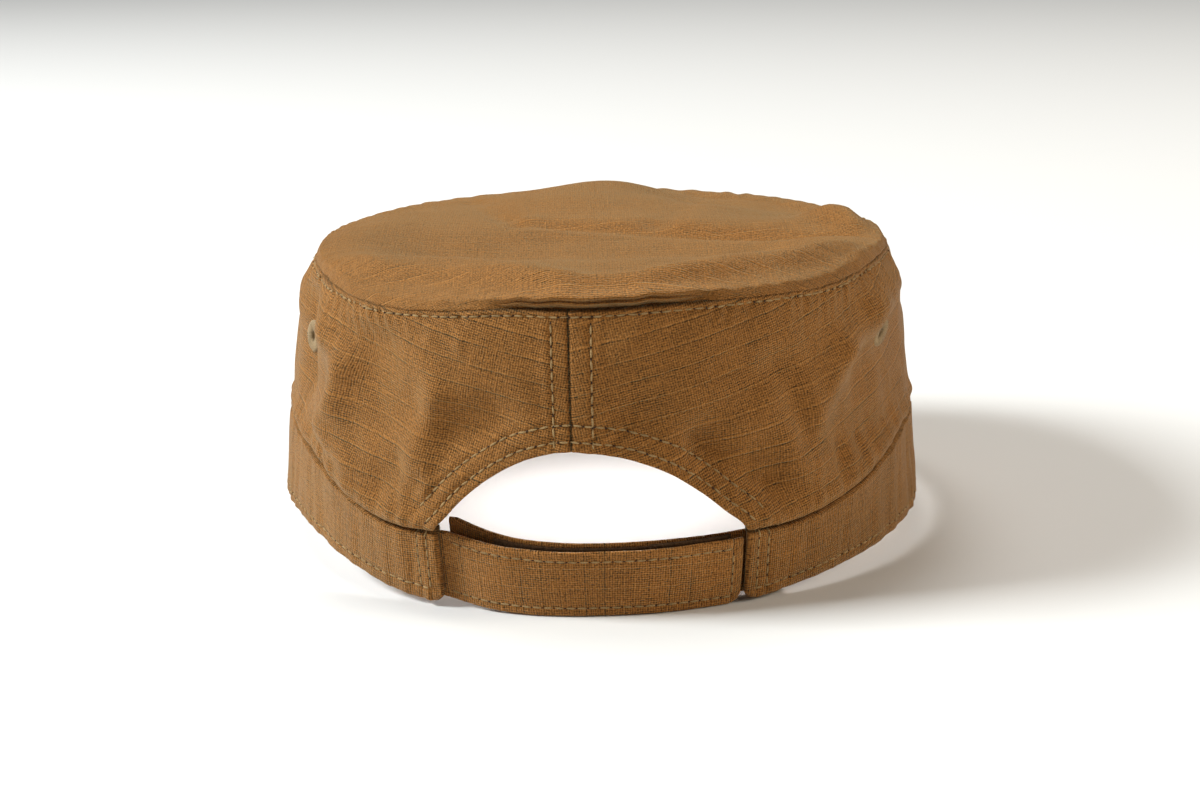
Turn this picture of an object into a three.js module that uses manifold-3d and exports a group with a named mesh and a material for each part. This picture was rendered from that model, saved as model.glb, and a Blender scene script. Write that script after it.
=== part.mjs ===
// Patrol cap: a soft round crown with a flat top, a band round its foot that is open at the
// back, two adjusting straps in the opening, a visor at the front and two small eyelets.
// Millimetres, +Z up, +Y toward the back of the cap, +X toward the wearer's left.
// Angles are in degrees from the middle of the back, growing toward +X.
import * as THREE from "three";
import Module from "manifold-3d";

// Sizes of the crown and the band
const CROWN_HEIGHT = 75;         // floor to the seam round the top
const RIM_HALF_WIDTH = 86;       // outside of the band at its lower edge
const RIM_HALF_LENGTH = 95;
const SEAM_HALF_WIDTH = 85;      // outside of the wall where it meets the band
const SEAM_HALF_LENGTH = 98.5;
const TOP_HALF_WIDTH = 77.5;     // outside of the wall at the seam round the top
const TOP_HALF_LENGTH = 93;
const RIM_POWER = 2.0;           // 2 is an ellipse, more is squarer
const SEAM_POWER = 2.1;
const TOP_POWER = 2.2;
const CLOTH = 1.5;               // thickness of the crown cloth
const BAND_CLOTH = 2.4;          // thickness of the doubled band
const GAP = 0.3;                 // play between two pieces
const SHOULDER_SHARE = 0.4;      // how much of the taper is in the rounded shoulder
const SHOULDER_POWER = 6;
const BACK_SEAM = 1.5;           // angle of the centre back seam
const FRONT_SEAM = 112;          // angle of the two seams beside the front panel

// Sizes of the opening and the straps
const BAND_END_LEFT = 25.0;      // angles where the band stops
const BAND_END_RIGHT = -25.2;
const BAND_CORNER = 4;           // radius of the lower corners of the band
const ARCH_RISE = 41.2;          // floor to the top of the arch
const STRAP_HEIGHT = 16.9;
const STRAP_CLOTH = 1.6;
const TAPE_CLOTH = 1.0;
const STRAP_CORNER = 4;

// Sizes of the visor
const VISOR_CLOTH = 3;
const VISOR_LENGTH = 62;         // from the front of the band to the tip
const VISOR_HALF_WIDTH = 76;
const VISOR_SPAN = 58;           // angle on each side of the front
const VISOR_POWER = 2.5;
const VISOR_TIP = 9.5;           // height of the top face at the tip
const VISOR_EDGE = 3;            // height of the top face at the lowest places of its edge

// Sizes of the eyelets
const EYELET_RADIUS = 4.1;
const EYELET_HOLE = 1.4;
const EYELET_TUBE = 2.0;
const EYELET_HOLE_IN_CLOTH = 2.4;
const EYELET_LIP = 0.6;
const EYELET_PLAY = 0.65;        // the cloth is not quite flat under the ring

// Sections round the cap: angle, then the heights of the lower edge of the band, of the seam
// above the band and of the seam round the top, as shares of CROWN_HEIGHT, then how far out
// the same three are, as shares of their ovals
const SECTIONS = [
  // angle, rim, seam, top, reach of the rim, the seam and the top
  [-165, 0.176, 0.467, 0.953, 1.035, 1.028, 1.008],
  [-145, 0.140, 0.440, 0.951, 1.022, 1.018, 1.004],
  [-125, 0.100, 0.420, 0.953, 1.008, 1.005, 1.000],
  [-110, 0.087, 0.413, 0.960, 1.000, 1.000, 1.000],
  [-92, 0.083, 0.420, 0.980, 0.997, 0.995, 1.000],
  [-78, 0.079, 0.424, 0.993, 0.996, 0.995, 1.000],
  [-68, 0.072, 0.407, 1.000, 0.998, 0.996, 1.000],
  [-58, 0.063, 0.357, 0.991, 1.000, 1.000, 1.000],
  [-45, 0.045, 0.293, 0.981, 1.000, 1.000, 1.000],
  [-34, 0.027, 0.261, 0.989, 1.000, 1.000, 1.000],
  [-24, 0.008, 0.259, 0.993, 1.000, 1.000, 1.000],
  [-12, 0.001, 0.248, 0.991, 1.000, 1.000, 1.000],
  [0, 0.004, 0.247, 0.984, 1.000, 1.000, 1.000],
  [12, 0.012, 0.253, 0.987, 1.000, 1.000, 1.000],
  [24, 0.027, 0.273, 0.973, 1.000, 1.000, 1.000],
  [35, 0.047, 0.280, 0.967, 1.000, 1.000, 1.000],
  [45, 0.085, 0.333, 0.973, 0.997, 0.995, 0.990],
  [55, 0.127, 0.403, 0.985, 0.990, 0.985, 0.972],
  [65, 0.150, 0.445, 0.997, 0.984, 0.975, 0.957],
  [78, 0.150, 0.468, 1.000, 0.980, 0.968, 0.944],
  [92, 0.138, 0.460, 0.987, 0.980, 0.968, 0.944],
  [110, 0.123, 0.440, 0.967, 0.988, 0.980, 0.962],
  [125, 0.113, 0.425, 0.957, 1.002, 1.000, 0.988],
  [145, 0.140, 0.435, 0.953, 1.022, 1.018, 1.004],
  [165, 0.176, 0.460, 0.953, 1.035, 1.028, 1.008],
  [180, 0.187, 0.473, 0.957, 1.040, 1.030, 1.010],
];

// Edge of the arch: angle, height as a share of ARCH_RISE
const ARCH = [
  [-25.2, 0.46], [-23.6, 0.53], [-21.2, 0.60], [-18.2, 0.695], [-15.0, 0.78], [-12.0, 0.85],
  [-9.0, 0.90], [-6.0, 0.94], [-3.0, 0.97], [0.0, 0.99], [3.0, 1.0], [6.0, 0.985],
  [9.0, 0.955], [12.0, 0.905], [15.0, 0.84], [18.0, 0.76], [21.0, 0.66], [23.0, 0.58],
  [25.4, 0.49],
];

// Folds and dents of the wall, each one a straight stroke: angle and height share where it
// starts, the same where it ends, half width in mm, depth in mm (out is positive)
const WALL_FOLDS = [
  // angle, height, angle, height, width, depth
  [58, 0.97, 53, 0.84, 6, 1.0],
  [53, 0.84, 46, 0.75, 5, 1.4],
  [46, 0.75, 48, 0.62, 5, 1.5],
  [48, 0.62, 52, 0.54, 5, 1.4],
  [52, 0.54, 44, 0.42, 5, 1.2],
  [66, 0.84, 64, 0.68, 9, -3.0],
  [37, 0.80, 36, 0.60, 8, -1.4],
  [25, 0.68, 28, 0.42, 5, 1.2],
  [33, 0.46, 37, 0.36, 5, -1.3],
  [22, 0.58, 15, 0.66, 6, -0.9],
  [16, 0.96, 16, 0.86, 4, -1.0],
  [-76, 0.92, -60, 0.87, 6, 1.3],
  [-60, 0.87, -44, 0.70, 6, 1.3],
  [-70, 0.74, -54, 0.66, 9, -1.8],
  [-31, 0.68, -34, 0.52, 5, 1.1],
  [-34, 0.52, -37, 0.32, 5, 1.1],
  [-18, 0.56, -29, 0.40, 6, -2.0],
  [-6, 0.64, -18, 0.56, 5, -0.9],
  [-47, 0.50, -62, 0.47, 7, -1.5],
  [-22, 0.80, -27, 0.72, 5, -0.8],
];

// Folds and dents of the top: start and end as shares of the half width and half length,
// half width in mm, height in mm (up is positive)
const TOP_FOLDS = [
  // x, y, x, y, width, height
  [0.88, 0.50, 0.42, 0.62, 9, 1.8],
  [0.42, 0.62, 0.06, 0.88, 8, 1.8],
  [0.06, 0.90, -0.22, 0.89, 7, 1.6],
  [-0.22, 0.88, -0.54, 0.64, 8, 1.8],
  [-0.54, 0.64, -0.92, 0.47, 9, 1.8],
  [0.50, 0.28, -0.52, 0.34, 17, -2.6],
  [0.25, -0.05, -0.93, 0.20, 4, -1.2],
  [0.49, -0.62, 0.30, -0.15, 5, -1.2],
  [-0.38, -0.62, -0.22, -0.03, 5, -1.2],
  [0.10, -0.40, -0.06, -0.72, 18, 1.4],
  [-0.80, -0.18, -0.93, 0.06, 7, 1.6],
  [0.70, -0.20, 0.80, 0.15, 12, 1.0],
];
const TOP_PUFF = 3.6;            // rise of the top just inside its seam
const TOP_PUFF_POWER = 7;
const TOP_OVERHANG = 0.5;        // how far its folded edge stands out from the wall
const EYELETS = { left: [67, 0.765], right: [-63, 0.76] };   // angle, height share

const RAD = Math.PI / 180;
const mix = (a, b, t) => a + (b - a) * t;
const clamp = (x, a, b) => Math.min(b, Math.max(a, x));

// Smooth curve through the rows of a table, in the given column; closed tables repeat at 360
function through(table, column, angle, closed) {
  const n = table.length;
  const at = (i) => {
    if (!closed) return table[clamp(i, 0, n - 1)];
    const turn = Math.floor(i / n);
    const row = table[i - turn * n].slice();
    row[0] += 360 * turn;
    return row;
  };
  let a = angle;
  if (closed) while (a < table[0][0]) a += 360;
  if (closed) while (a >= table[0][0] + 360) a -= 360;
  if (!closed) a = clamp(a, table[0][0], table[n - 1][0]);
  let k = 0;
  while (k < n - (closed ? 1 : 2) && at(k + 1)[0] <= a) k += 1;
  const [p, q, r, s] = [at(k - 1), at(k), at(k + 1), at(k + 2)];
  const width = r[0] - q[0];
  const slope = (lo, hi) => (hi[0] === lo[0] ? 0 : (hi[column] - lo[column]) / (hi[0] - lo[0]));
  const t = (a - q[0]) / width;
  const [m0, m1] = [slope(p, r) * width, slope(q, s) * width];
  return (2 * t ** 3 - 3 * t ** 2 + 1) * q[column] + (t ** 3 - 2 * t ** 2 + t) * m0
    + (3 * t ** 2 - 2 * t ** 3) * r[column] + (t ** 3 - t ** 2) * m1;
}
const rimHeight = (angle) => CROWN_HEIGHT * through(SECTIONS, 1, angle, true);
const seamHeight = (angle) => CROWN_HEIGHT * through(SECTIONS, 2, angle, true);
const topHeight = (angle) => CROWN_HEIGHT * through(SECTIONS, 3, angle, true);

// Point of an oval, and the direction that points out of it there
function oval(angle, halfWidth, halfLength, power) {
  const s = Math.sin(angle * RAD);
  const c = Math.cos(angle * RAD);
  return [halfWidth * Math.sign(s) * Math.abs(s) ** (2 / power),
    halfLength * Math.sign(c) * Math.abs(c) ** (2 / power)];
}
function outward(curve, angle) {
  const [a, b] = [curve(angle - 0.6), curve(angle + 0.6)];
  const length = Math.hypot(b[0] - a[0], b[1] - a[1]);
  return [-(b[1] - a[1]) / length, (b[0] - a[0]) / length];
}

const rimReach = (angle) => through(SECTIONS, 4, angle, true);
const seamReach = (angle) => through(SECTIONS, 5, angle, true);
const topReach = (angle) => through(SECTIONS, 6, angle, true);

// Plan of the wall and the band at a height
function planAt(angle, height) {
  const [rim, seam, top] = [rimHeight(angle), seamHeight(angle), topHeight(angle)];
  if (height < seam) {
    const t = clamp((height - rim) / (seam - rim), -0.5, 1);
    const reach = mix(rimReach(angle), seamReach(angle), t);
    return oval(angle, mix(RIM_HALF_WIDTH, SEAM_HALF_WIDTH, t) * reach,
      mix(RIM_HALF_LENGTH, SEAM_HALF_LENGTH, t) * reach, mix(RIM_POWER, SEAM_POWER, t));
  }
  const v = clamp((height - seam) / (top - seam), 0, 1);
  const t = (1 - SHOULDER_SHARE) * v + SHOULDER_SHARE * v ** SHOULDER_POWER;
  const reach = mix(seamReach(angle), topReach(angle), t);
  return oval(angle, mix(SEAM_HALF_WIDTH, TOP_HALF_WIDTH, t) * reach,
    mix(SEAM_HALF_LENGTH, TOP_HALF_LENGTH, t) * reach, mix(SEAM_POWER, TOP_POWER, t));
}

// Height of a stroke of a fold table at a place, both in mm
function stroke(x, y, x0, y0, x1, y1, width, depth) {
  const [dx, dy] = [x1 - x0, y1 - y0];
  const t = clamp(((x - x0) * dx + (y - y0) * dy) / (dx * dx + dy * dy), 0, 1);
  const off = Math.hypot(x - x0 - dx * t, y - y0 - dy * t) / width;
  return depth * Math.exp(-off * off);
}
const ARC = 1.55;                // mm round the wall to a degree
function wallFold(angle, height) {
  let out = 0;
  for (const [a0, h0, a1, h1, width, depth] of WALL_FOLDS) {
    out += stroke(angle * ARC, height, a0 * ARC, h0 * CROWN_HEIGHT, a1 * ARC, h1 * CROWN_HEIGHT,
      width, depth);
  }
  const [seam, top] = [seamHeight(angle), topHeight(angle)];
  const v = clamp((height - seam) / (top - seam), 0, 1);
  return out * clamp(v * 6, 0.15, 1) * clamp((1 - v) * 7, 0.1, 1);
}

// Point of the wall or the band, moved in by depth
function wallPoint(angle, height, depth, folded = true) {
  const a = angle > 180 ? angle - 360 : angle;
  const [x, y] = planAt(a, height);
  const [nx, ny] = outward((u) => planAt(u, height), a);
  const move = (folded ? wallFold(a, height) : 0) - depth;
  return [x + nx * move, y + ny * move, height];
}

// Closed body from two grids of points, one for each face
function slab(faceA, faceB) {
  const [rows, columns] = [faceA.length, faceA[0].length];
  const points = [...faceA.flat(), ...faceB.flat()];
  const a = (i, j) => i * columns + j;
  const b = (i, j) => rows * columns + i * columns + j;
  const index = [];
  const quad = (p, q, r, s) => index.push(p, q, r, p, r, s);
  for (let i = 0; i < rows - 1; i += 1) {
    for (let j = 0; j < columns - 1; j += 1) {
      quad(a(i, j), a(i + 1, j), a(i + 1, j + 1), a(i, j + 1));
      quad(b(i, j), b(i, j + 1), b(i + 1, j + 1), b(i + 1, j));
    }
    quad(a(i, 0), b(i, 0), b(i + 1, 0), a(i + 1, 0));
    quad(a(i, columns - 1), a(i + 1, columns - 1), b(i + 1, columns - 1), b(i, columns - 1));
  }
  for (let j = 0; j < columns - 1; j += 1) {
    quad(a(0, j), a(0, j + 1), b(0, j + 1), b(0, j));
    quad(a(rows - 1, j), b(rows - 1, j), b(rows - 1, j + 1), a(rows - 1, j + 1));
  }
  return facingOut(points, index);
}

// The same triangles, turned round where the body would be inside out
function facingOut(points, index) {
  let volume = 0;
  for (let i = 0; i < index.length; i += 3) {
    const [p, q, r] = [points[index[i]], points[index[i + 1]], points[index[i + 2]]];
    volume += p[0] * (q[1] * r[2] - q[2] * r[1]) + p[1] * (q[2] * r[0] - q[0] * r[2])
      + p[2] * (q[0] * r[1] - q[1] * r[0]);
  }
  if (volume < 0) {
    for (let i = 0; i < index.length; i += 3) {
      [index[i + 1], index[i + 2]] = [index[i + 2], index[i + 1]];
    }
  }
  return { points, index };
}

function steps(from, to, count) {
  return Array.from({ length: count + 1 }, (_, i) => mix(from, to, i / count));
}

// Lower edge of the wall: the seam above the band, and the arch where the band is open
function wallFoot(angle) {
  const a = angle > 180 ? angle - 360 : angle;
  const seam = seamHeight(a) + GAP;
  if (a < ARCH[0][0] || a > ARCH[ARCH.length - 1][0]) return seam;
  return Math.max(seam, ARCH_RISE * through(ARCH, 1, a, false));
}
function wallPanel(angles, rows) {
  const face = (depth) => angles.map((angle) => {
    const [foot, head] = [wallFoot(angle), topHeight(angle)];
    return rows.map((v) => wallPoint(angle, mix(foot, head, v), depth));
  });
  return slab(face(0), face(CLOTH));
}

// Band: rounded at the lower corners of its two ends
function bandBody(angles, rows) {
  const foot = (angle) => {
    const toEnd = Math.min(angle - BAND_END_LEFT, 360 + BAND_END_RIGHT - angle) * ARC;
    const d = clamp(BAND_CORNER - toEnd, 0, BAND_CORNER);
    return Math.max(0, rimHeight(angle)) + BAND_CORNER - Math.sqrt(BAND_CORNER ** 2 - d ** 2);
  };
  const face = (depth) => angles.map((angle) => {
    const head = seamHeight(angle);
    return rows.map((v) => wallPoint(angle, mix(foot(angle), head, v), depth, false));
  });
  return slab(face(0.4), face(0.4 + BAND_CLOTH));
}

// Strap or tape: a strip round the opening between two heights, at a depth from the outside
function strip(angles, low, high, depth, thickness) {
  const face = (extra) => angles.map((angle) => {
    const rows = [low(angle), mix(low(angle), high(angle), 0.5), high(angle)];
    return rows.map((height) => wallPoint(angle, height, depth(angle) + extra, false));
  });
  return slab(face(0), face(thickness));
}

// Top: a sheet with a puffed edge, folds and dents
function topSurface(x, y) {
  const px = Math.sign(x) * Math.abs(x / TOP_HALF_WIDTH) ** (TOP_POWER / 2);
  const py = Math.sign(y) * Math.abs(y / TOP_HALF_LENGTH) ** (TOP_POWER / 2);
  const angle = Math.atan2(px, py) / RAD;
  const s = Math.hypot(px, py) ** (2 / TOP_POWER) / topReach(angle);
  const edge = mix(0.975 * CROWN_HEIGHT, topHeight(angle), Math.min(1, s) ** 2);
  let folds = 0;
  for (const [x0, y0, x1, y1, width, height] of TOP_FOLDS) {
    folds += stroke(x, y, x0 * TOP_HALF_WIDTH, y0 * TOP_HALF_LENGTH, x1 * TOP_HALF_WIDTH,
      y1 * TOP_HALF_LENGTH, width, height);
  }
  const puff = TOP_PUFF * (1 - Math.min(1, s) ** TOP_PUFF_POWER);
  return edge + GAP + CLOTH + puff + folds * clamp((1 - s) * 9, 0, 1);
}
function topPanel(count, rings) {
  const points = [];
  const index = [];
  const angles = Array.from({ length: count }, (_, i) => (360 * i) / count - 180);
  const rim = (angle) => oval(angle, (TOP_HALF_WIDTH + TOP_OVERHANG) * topReach(angle),
    (TOP_HALF_LENGTH + TOP_OVERHANG) * topReach(angle), TOP_POWER);
  for (const under of [0, CLOTH]) {
    points.push([0, 0, topSurface(0, 0) - under]);
    for (const s of rings) {
      for (const angle of angles) {
        const [x, y] = rim(angle).map((p) => p * s);
        points.push([x, y, topSurface(x, y) - under]);
      }
    }
  }
  const half = points.length / 2;
  const at = (face, ring, i) => face * half + 1 + ring * count + (i % count);
  const last = rings.length - 1;
  for (let i = 0; i < count; i += 1) {
    index.push(0, at(0, 0, i + 1), at(0, 0, i), half, at(1, 0, i), at(1, 0, i + 1));
    for (let r = 0; r < last; r += 1) {
      index.push(at(0, r, i), at(0, r, i + 1), at(0, r + 1, i + 1));
      index.push(at(0, r, i), at(0, r + 1, i + 1), at(0, r + 1, i));
      index.push(at(1, r, i), at(1, r + 1, i + 1), at(1, r, i + 1));
      index.push(at(1, r, i), at(1, r + 1, i), at(1, r + 1, i + 1));
    }
    index.push(at(0, last, i), at(0, last, i + 1), at(1, last, i + 1));
    index.push(at(0, last, i), at(1, last, i + 1), at(1, last, i));
  }
  return facingOut(points, index);
}

// Visor: between the lower edge of the band and its own arched outline
function visorBody(count, rows) {
  const face = (under) => steps(-VISOR_SPAN, VISOR_SPAN, count).map((turn) => {
    const angle = turn < 0 ? -180 - turn : 180 - turn;
    const root = wallPoint(angle, rimHeight(angle), 0.6 + BAND_CLOTH, false);
    const share = turn / VISOR_SPAN;
    const swing = share * 90 * (1 - 0.06 * (1 - share * share));
    const centre = -RIM_HALF_LENGTH * Math.cos(VISOR_SPAN * RAD);
    const reach = RIM_HALF_LENGTH * rimReach(180) + VISOR_LENGTH + centre;
    const [px, py] = oval(swing, VISOR_HALF_WIDTH, reach, VISOR_POWER);
    const edge = mix(VISOR_TIP, VISOR_EDGE, Math.sin(share * 90 * RAD) ** 2);
    return rows.map((t) => {
      const bulge = 1.2 * Math.sin(Math.PI * t) * (1 - share * share);
      return [mix(root[0], px, t), mix(root[1], centre - py, t),
        mix(root[2] - GAP, edge, t) + bulge - under];
    });
  });
  return slab(face(0), face(VISOR_CLOTH));
}

// Eyelet: a thread ring on both faces of the cloth, joined through its hole
function eyeletBody(angle, share) {
  const height = share * CROWN_HEIGHT;
  const centre = new THREE.Vector3(...wallPoint(angle, height, 0));
  const side = new THREE.Vector3(...wallPoint(angle + 1, height, 0)).sub(centre).normalize();
  const up = new THREE.Vector3(...wallPoint(angle, height + 1.5, 0))
    .sub(new THREE.Vector3(...wallPoint(angle, height - 1.5, 0))).normalize();
  const out = new THREE.Vector3().crossVectors(up, side).normalize();
  if (out.x * centre.x + out.y * centre.y < 0) out.negate();
  const under = -(CLOTH + EYELET_PLAY);
  const profile = [
    [EYELET_HOLE, under - EYELET_LIP], [EYELET_RADIUS * 0.9, under - EYELET_LIP],
    [EYELET_RADIUS * 0.9, under], [EYELET_TUBE, under], [EYELET_TUBE, EYELET_PLAY],
    [EYELET_RADIUS, EYELET_PLAY], [EYELET_RADIUS * 0.93, EYELET_PLAY + EYELET_LIP],
    [EYELET_HOLE, EYELET_PLAY + EYELET_LIP],
  ];
  const count = 20;
  const points = [];
  const index = [];
  for (let i = 0; i < count; i += 1) {
    const turn = (2 * Math.PI * i) / count;
    for (const [r, h] of profile) {
      const p = centre.clone().addScaledVector(side, r * Math.cos(turn))
        .addScaledVector(up, r * Math.sin(turn)).addScaledVector(out, h);
      points.push([p.x, p.y, p.z]);
    }
  }
  const n = profile.length;
  for (let i = 0; i < count; i += 1) {
    for (let j = 0; j < n; j += 1) {
      const [p, q] = [i * n + j, i * n + ((j + 1) % n)];
      const [r, s] = [((i + 1) % count) * n + ((j + 1) % n), ((i + 1) % count) * n + j];
      index.push(p, q, r, p, r, s);
    }
  }
  return { ...facingOut(points, index), centre, out };
}

const wasm = await Module();
wasm.setup();
const solid = (body) => new wasm.Manifold(new wasm.Mesh({
  numProp: 3,
  vertProperties: Float32Array.from(body.points.flat()),
  triVerts: Uint32Array.from(body.index),
}));

// The panel with a round hole for an eyelet
function pierced(panel, eyelet) {
  const turn = new THREE.Quaternion().setFromUnitVectors(new THREE.Vector3(0, 0, 1), eyelet.out);
  const place = new THREE.Matrix4().compose(eyelet.centre, turn, new THREE.Vector3(1, 1, 1));
  const drill = wasm.Manifold.cylinder(16, EYELET_HOLE_IN_CLOTH, EYELET_HOLE_IN_CLOTH, 20, true)
    .transform(place.elements);
  const mesh = solid(panel).subtract(drill).getMesh();
  const points = [];
  for (let i = 0; i < mesh.numVert; i += 1) {
    points.push(Array.from(mesh.vertProperties.slice(i * mesh.numProp, i * mesh.numProp + 3)));
  }
  return { points, index: Array.from(mesh.triVerts) };
}

// Pieces
const wallRows = [0, 0.1, 0.22, 0.34, 0.46, 0.58, 0.7, 0.81, 0.9, 0.96, 1];
const half = GAP / 2 / ARC;
const sideAngles = (sign) => {
  const back = BACK_SEAM + sign * half;
  const arch = [3, 6, 9, 12, 15, 18, 20.5, 22.5, 24.2, 25.6].map((a) => sign * a);
  const rest = steps(sign * 28, sign * (FRONT_SEAM - half), 26);
  return [back, ...arch.filter((a) => Math.abs(a - BACK_SEAM) > 1.2), ...rest];
};
const eyelets = { left: eyeletBody(...EYELETS.left), right: eyeletBody(...EYELETS.right) };
const sideLeft = pierced(wallPanel(sideAngles(1), wallRows), eyelets.left);
const sideRight = pierced(wallPanel(sideAngles(-1), wallRows), eyelets.right);
const frontPanel = wallPanel(steps(FRONT_SEAM + half, 360 - FRONT_SEAM - half, 28),
  [0, 0.15, 0.32, 0.5, 0.68, 0.84, 0.94, 1]);
const cornerAngles = [0, 0.15, 0.5, 1.1, 1.9, 2.7, 5];
const bandAngles = [...cornerAngles.map((d) => BAND_END_LEFT + d),
  ...steps(BAND_END_LEFT + 8, 352 + BAND_END_RIGHT, 70),
  ...cornerAngles.map((d) => 360 + BAND_END_RIGHT - d).reverse()];
const band = bandBody(bandAngles, [0, 0.35, 0.7, 1]);
const top = topPanel(60, [0.14, 0.28, 0.41, 0.53, 0.64, 0.73, 0.81, 0.87, 0.92, 0.955, 0.98, 1]);
const visor = visorBody(30, [0, 0.04, 0.2, 0.4, 0.6, 0.8, 0.94, 1]);

// Straps in the opening, from the outside in: strap, hook tape, loop tape, strap
const OUTER_END = -24.2;
const INNER_END = 25.5;
const strapDepth = (angle) => mix(1.0, 0.4 + BAND_CLOTH + GAP, clamp((angle - 13) / 11, 0, 1));
const hookDepth = (angle) => strapDepth(angle) + STRAP_CLOTH + GAP;
const loopDepth = (angle) => hookDepth(angle) + TAPE_CLOTH + GAP;
const innerDepth = (angle) => loopDepth(angle) + TAPE_CLOTH + GAP;
const corner = (angle, end) => {
  const d = clamp(STRAP_CORNER - Math.abs(angle - end) * ARC, 0, STRAP_CORNER);
  return STRAP_CORNER - Math.sqrt(STRAP_CORNER ** 2 - d ** 2);
};
const lift = (angle, from, to, rise) => rise * clamp((angle - from) / (to - from), 0, 1) ** 2;
const outerLow = (angle) => lift(angle, 8, 26, 2.0) + corner(angle, OUTER_END);
const outerHigh = (angle) => STRAP_HEIGHT + lift(angle, 0, 24, 2.8) + lift(-angle, 0, 24, 0.5);
const innerRise = (angle) => 0.8 + lift(angle, 0, 24, 4.2);
const innerHigh = (angle) => innerRise(angle) + STRAP_HEIGHT;
const endSteps = [0, 0.15, 0.5, 1.1, 1.9, 2.7];
const strapOuter = strip([...endSteps.map((d) => OUTER_END + d), ...steps(-20, 34, 26)],
  outerLow, outerHigh, strapDepth, STRAP_CLOTH);
const hookTape = strip(steps(-23, -9, 8), () => 2.5, (angle) => outerHigh(angle) + 0.8,
  hookDepth, TAPE_CLOTH);
const loopTape = strip(steps(-21, 16, 20), (angle) => innerRise(angle) + 1.5,
  (angle) => innerHigh(angle) - 0.8, loopDepth, TAPE_CLOTH);
const strapInner = strip([...steps(-34, 22, 28), ...endSteps.map((d) => INNER_END - d).reverse()],
  (angle) => innerRise(angle) + corner(angle, INNER_END), innerHigh, innerDepth, STRAP_CLOTH);

const bodies = [
  ["top_panel", top, 0x9b6f3d],
  ["side_panel_left", sideLeft, 0x8a623a],
  ["side_panel_right", sideRight, 0x8a623a],
  ["front_panel", frontPanel, 0x8a623a],
  ["band", band, 0x94683d],
  ["visor", visor, 0x8f663b],
  ["strap_outer", strapOuter, 0x815631],
  ["strap_inner", strapInner, 0x6b482b],
  ["hook_tape", hookTape, 0x5c4129],
  ["loop_tape", loopTape, 0x66492e],
  ["eyelet_left", eyelets.left, 0x967d5a],
  ["eyelet_right", eyelets.right, 0x967d5a],
];

const cap = new THREE.Group();
cap.name = "patrol_cap";
// The origin of the frame is the middle of the cap's box, at its lowest height
const spans = [0, 1, 2].map((axis) => {
  const values = bodies.flatMap(([, body]) => body.points.map((point) => point[axis]));
  return [values.reduce((a, b) => Math.min(a, b)), values.reduce((a, b) => Math.max(a, b))];
});
const origin = [(spans[0][0] + spans[0][1]) / 2, (spans[1][0] + spans[1][1]) / 2, spans[2][0]];
for (const [name, body, colour] of bodies) {
  const geometry = new THREE.BufferGeometry();
  const flat = body.points.flatMap((point) => point.map((value, axis) => value - origin[axis]));
  geometry.setAttribute("position", new THREE.Float32BufferAttribute(flat, 3));
  geometry.setIndex(body.index);
  geometry.computeVertexNormals();
  const material = new THREE.MeshStandardMaterial({ color: colour, roughness: 0.95 });
  material.name = name;
  const mesh = new THREE.Mesh(geometry, material);
  mesh.name = name;
  cap.add(mesh);
}
export default cap;
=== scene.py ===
"""A patrol cap in coyote brown ripstop: crown, band, visor, back straps, eyelets and stitching."""

import bmesh
import bpy
import numpy as np
from bpy.props import FloatProperty, FloatVectorProperty, PointerProperty
from mathutils import Matrix, Vector


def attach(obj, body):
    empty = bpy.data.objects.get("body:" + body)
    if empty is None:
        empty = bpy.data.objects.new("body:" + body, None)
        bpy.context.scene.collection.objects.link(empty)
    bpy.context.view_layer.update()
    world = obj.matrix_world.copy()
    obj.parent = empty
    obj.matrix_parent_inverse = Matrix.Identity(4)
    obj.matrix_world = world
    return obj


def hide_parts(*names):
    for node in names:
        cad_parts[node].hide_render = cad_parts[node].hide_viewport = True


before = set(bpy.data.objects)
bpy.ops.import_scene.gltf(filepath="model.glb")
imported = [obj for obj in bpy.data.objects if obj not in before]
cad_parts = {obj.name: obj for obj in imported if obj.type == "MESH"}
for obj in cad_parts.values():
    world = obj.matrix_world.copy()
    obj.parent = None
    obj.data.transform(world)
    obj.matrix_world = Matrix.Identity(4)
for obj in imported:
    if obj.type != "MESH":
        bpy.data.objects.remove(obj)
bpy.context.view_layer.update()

bl_info = {
    "name": "Patrol cap",
    "version": (1, 0, 0),
    "blender": (4, 5, 0),
    "location": "3D View > Sidebar > Cap",
    "description": "Sews a soft ripstop patrol cap piece by piece",
    "category": "Add Mesh",
}

# Tables of the cap's form
# Angles are in degrees from the middle of the back, growing toward the wearer's left (+X).

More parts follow.
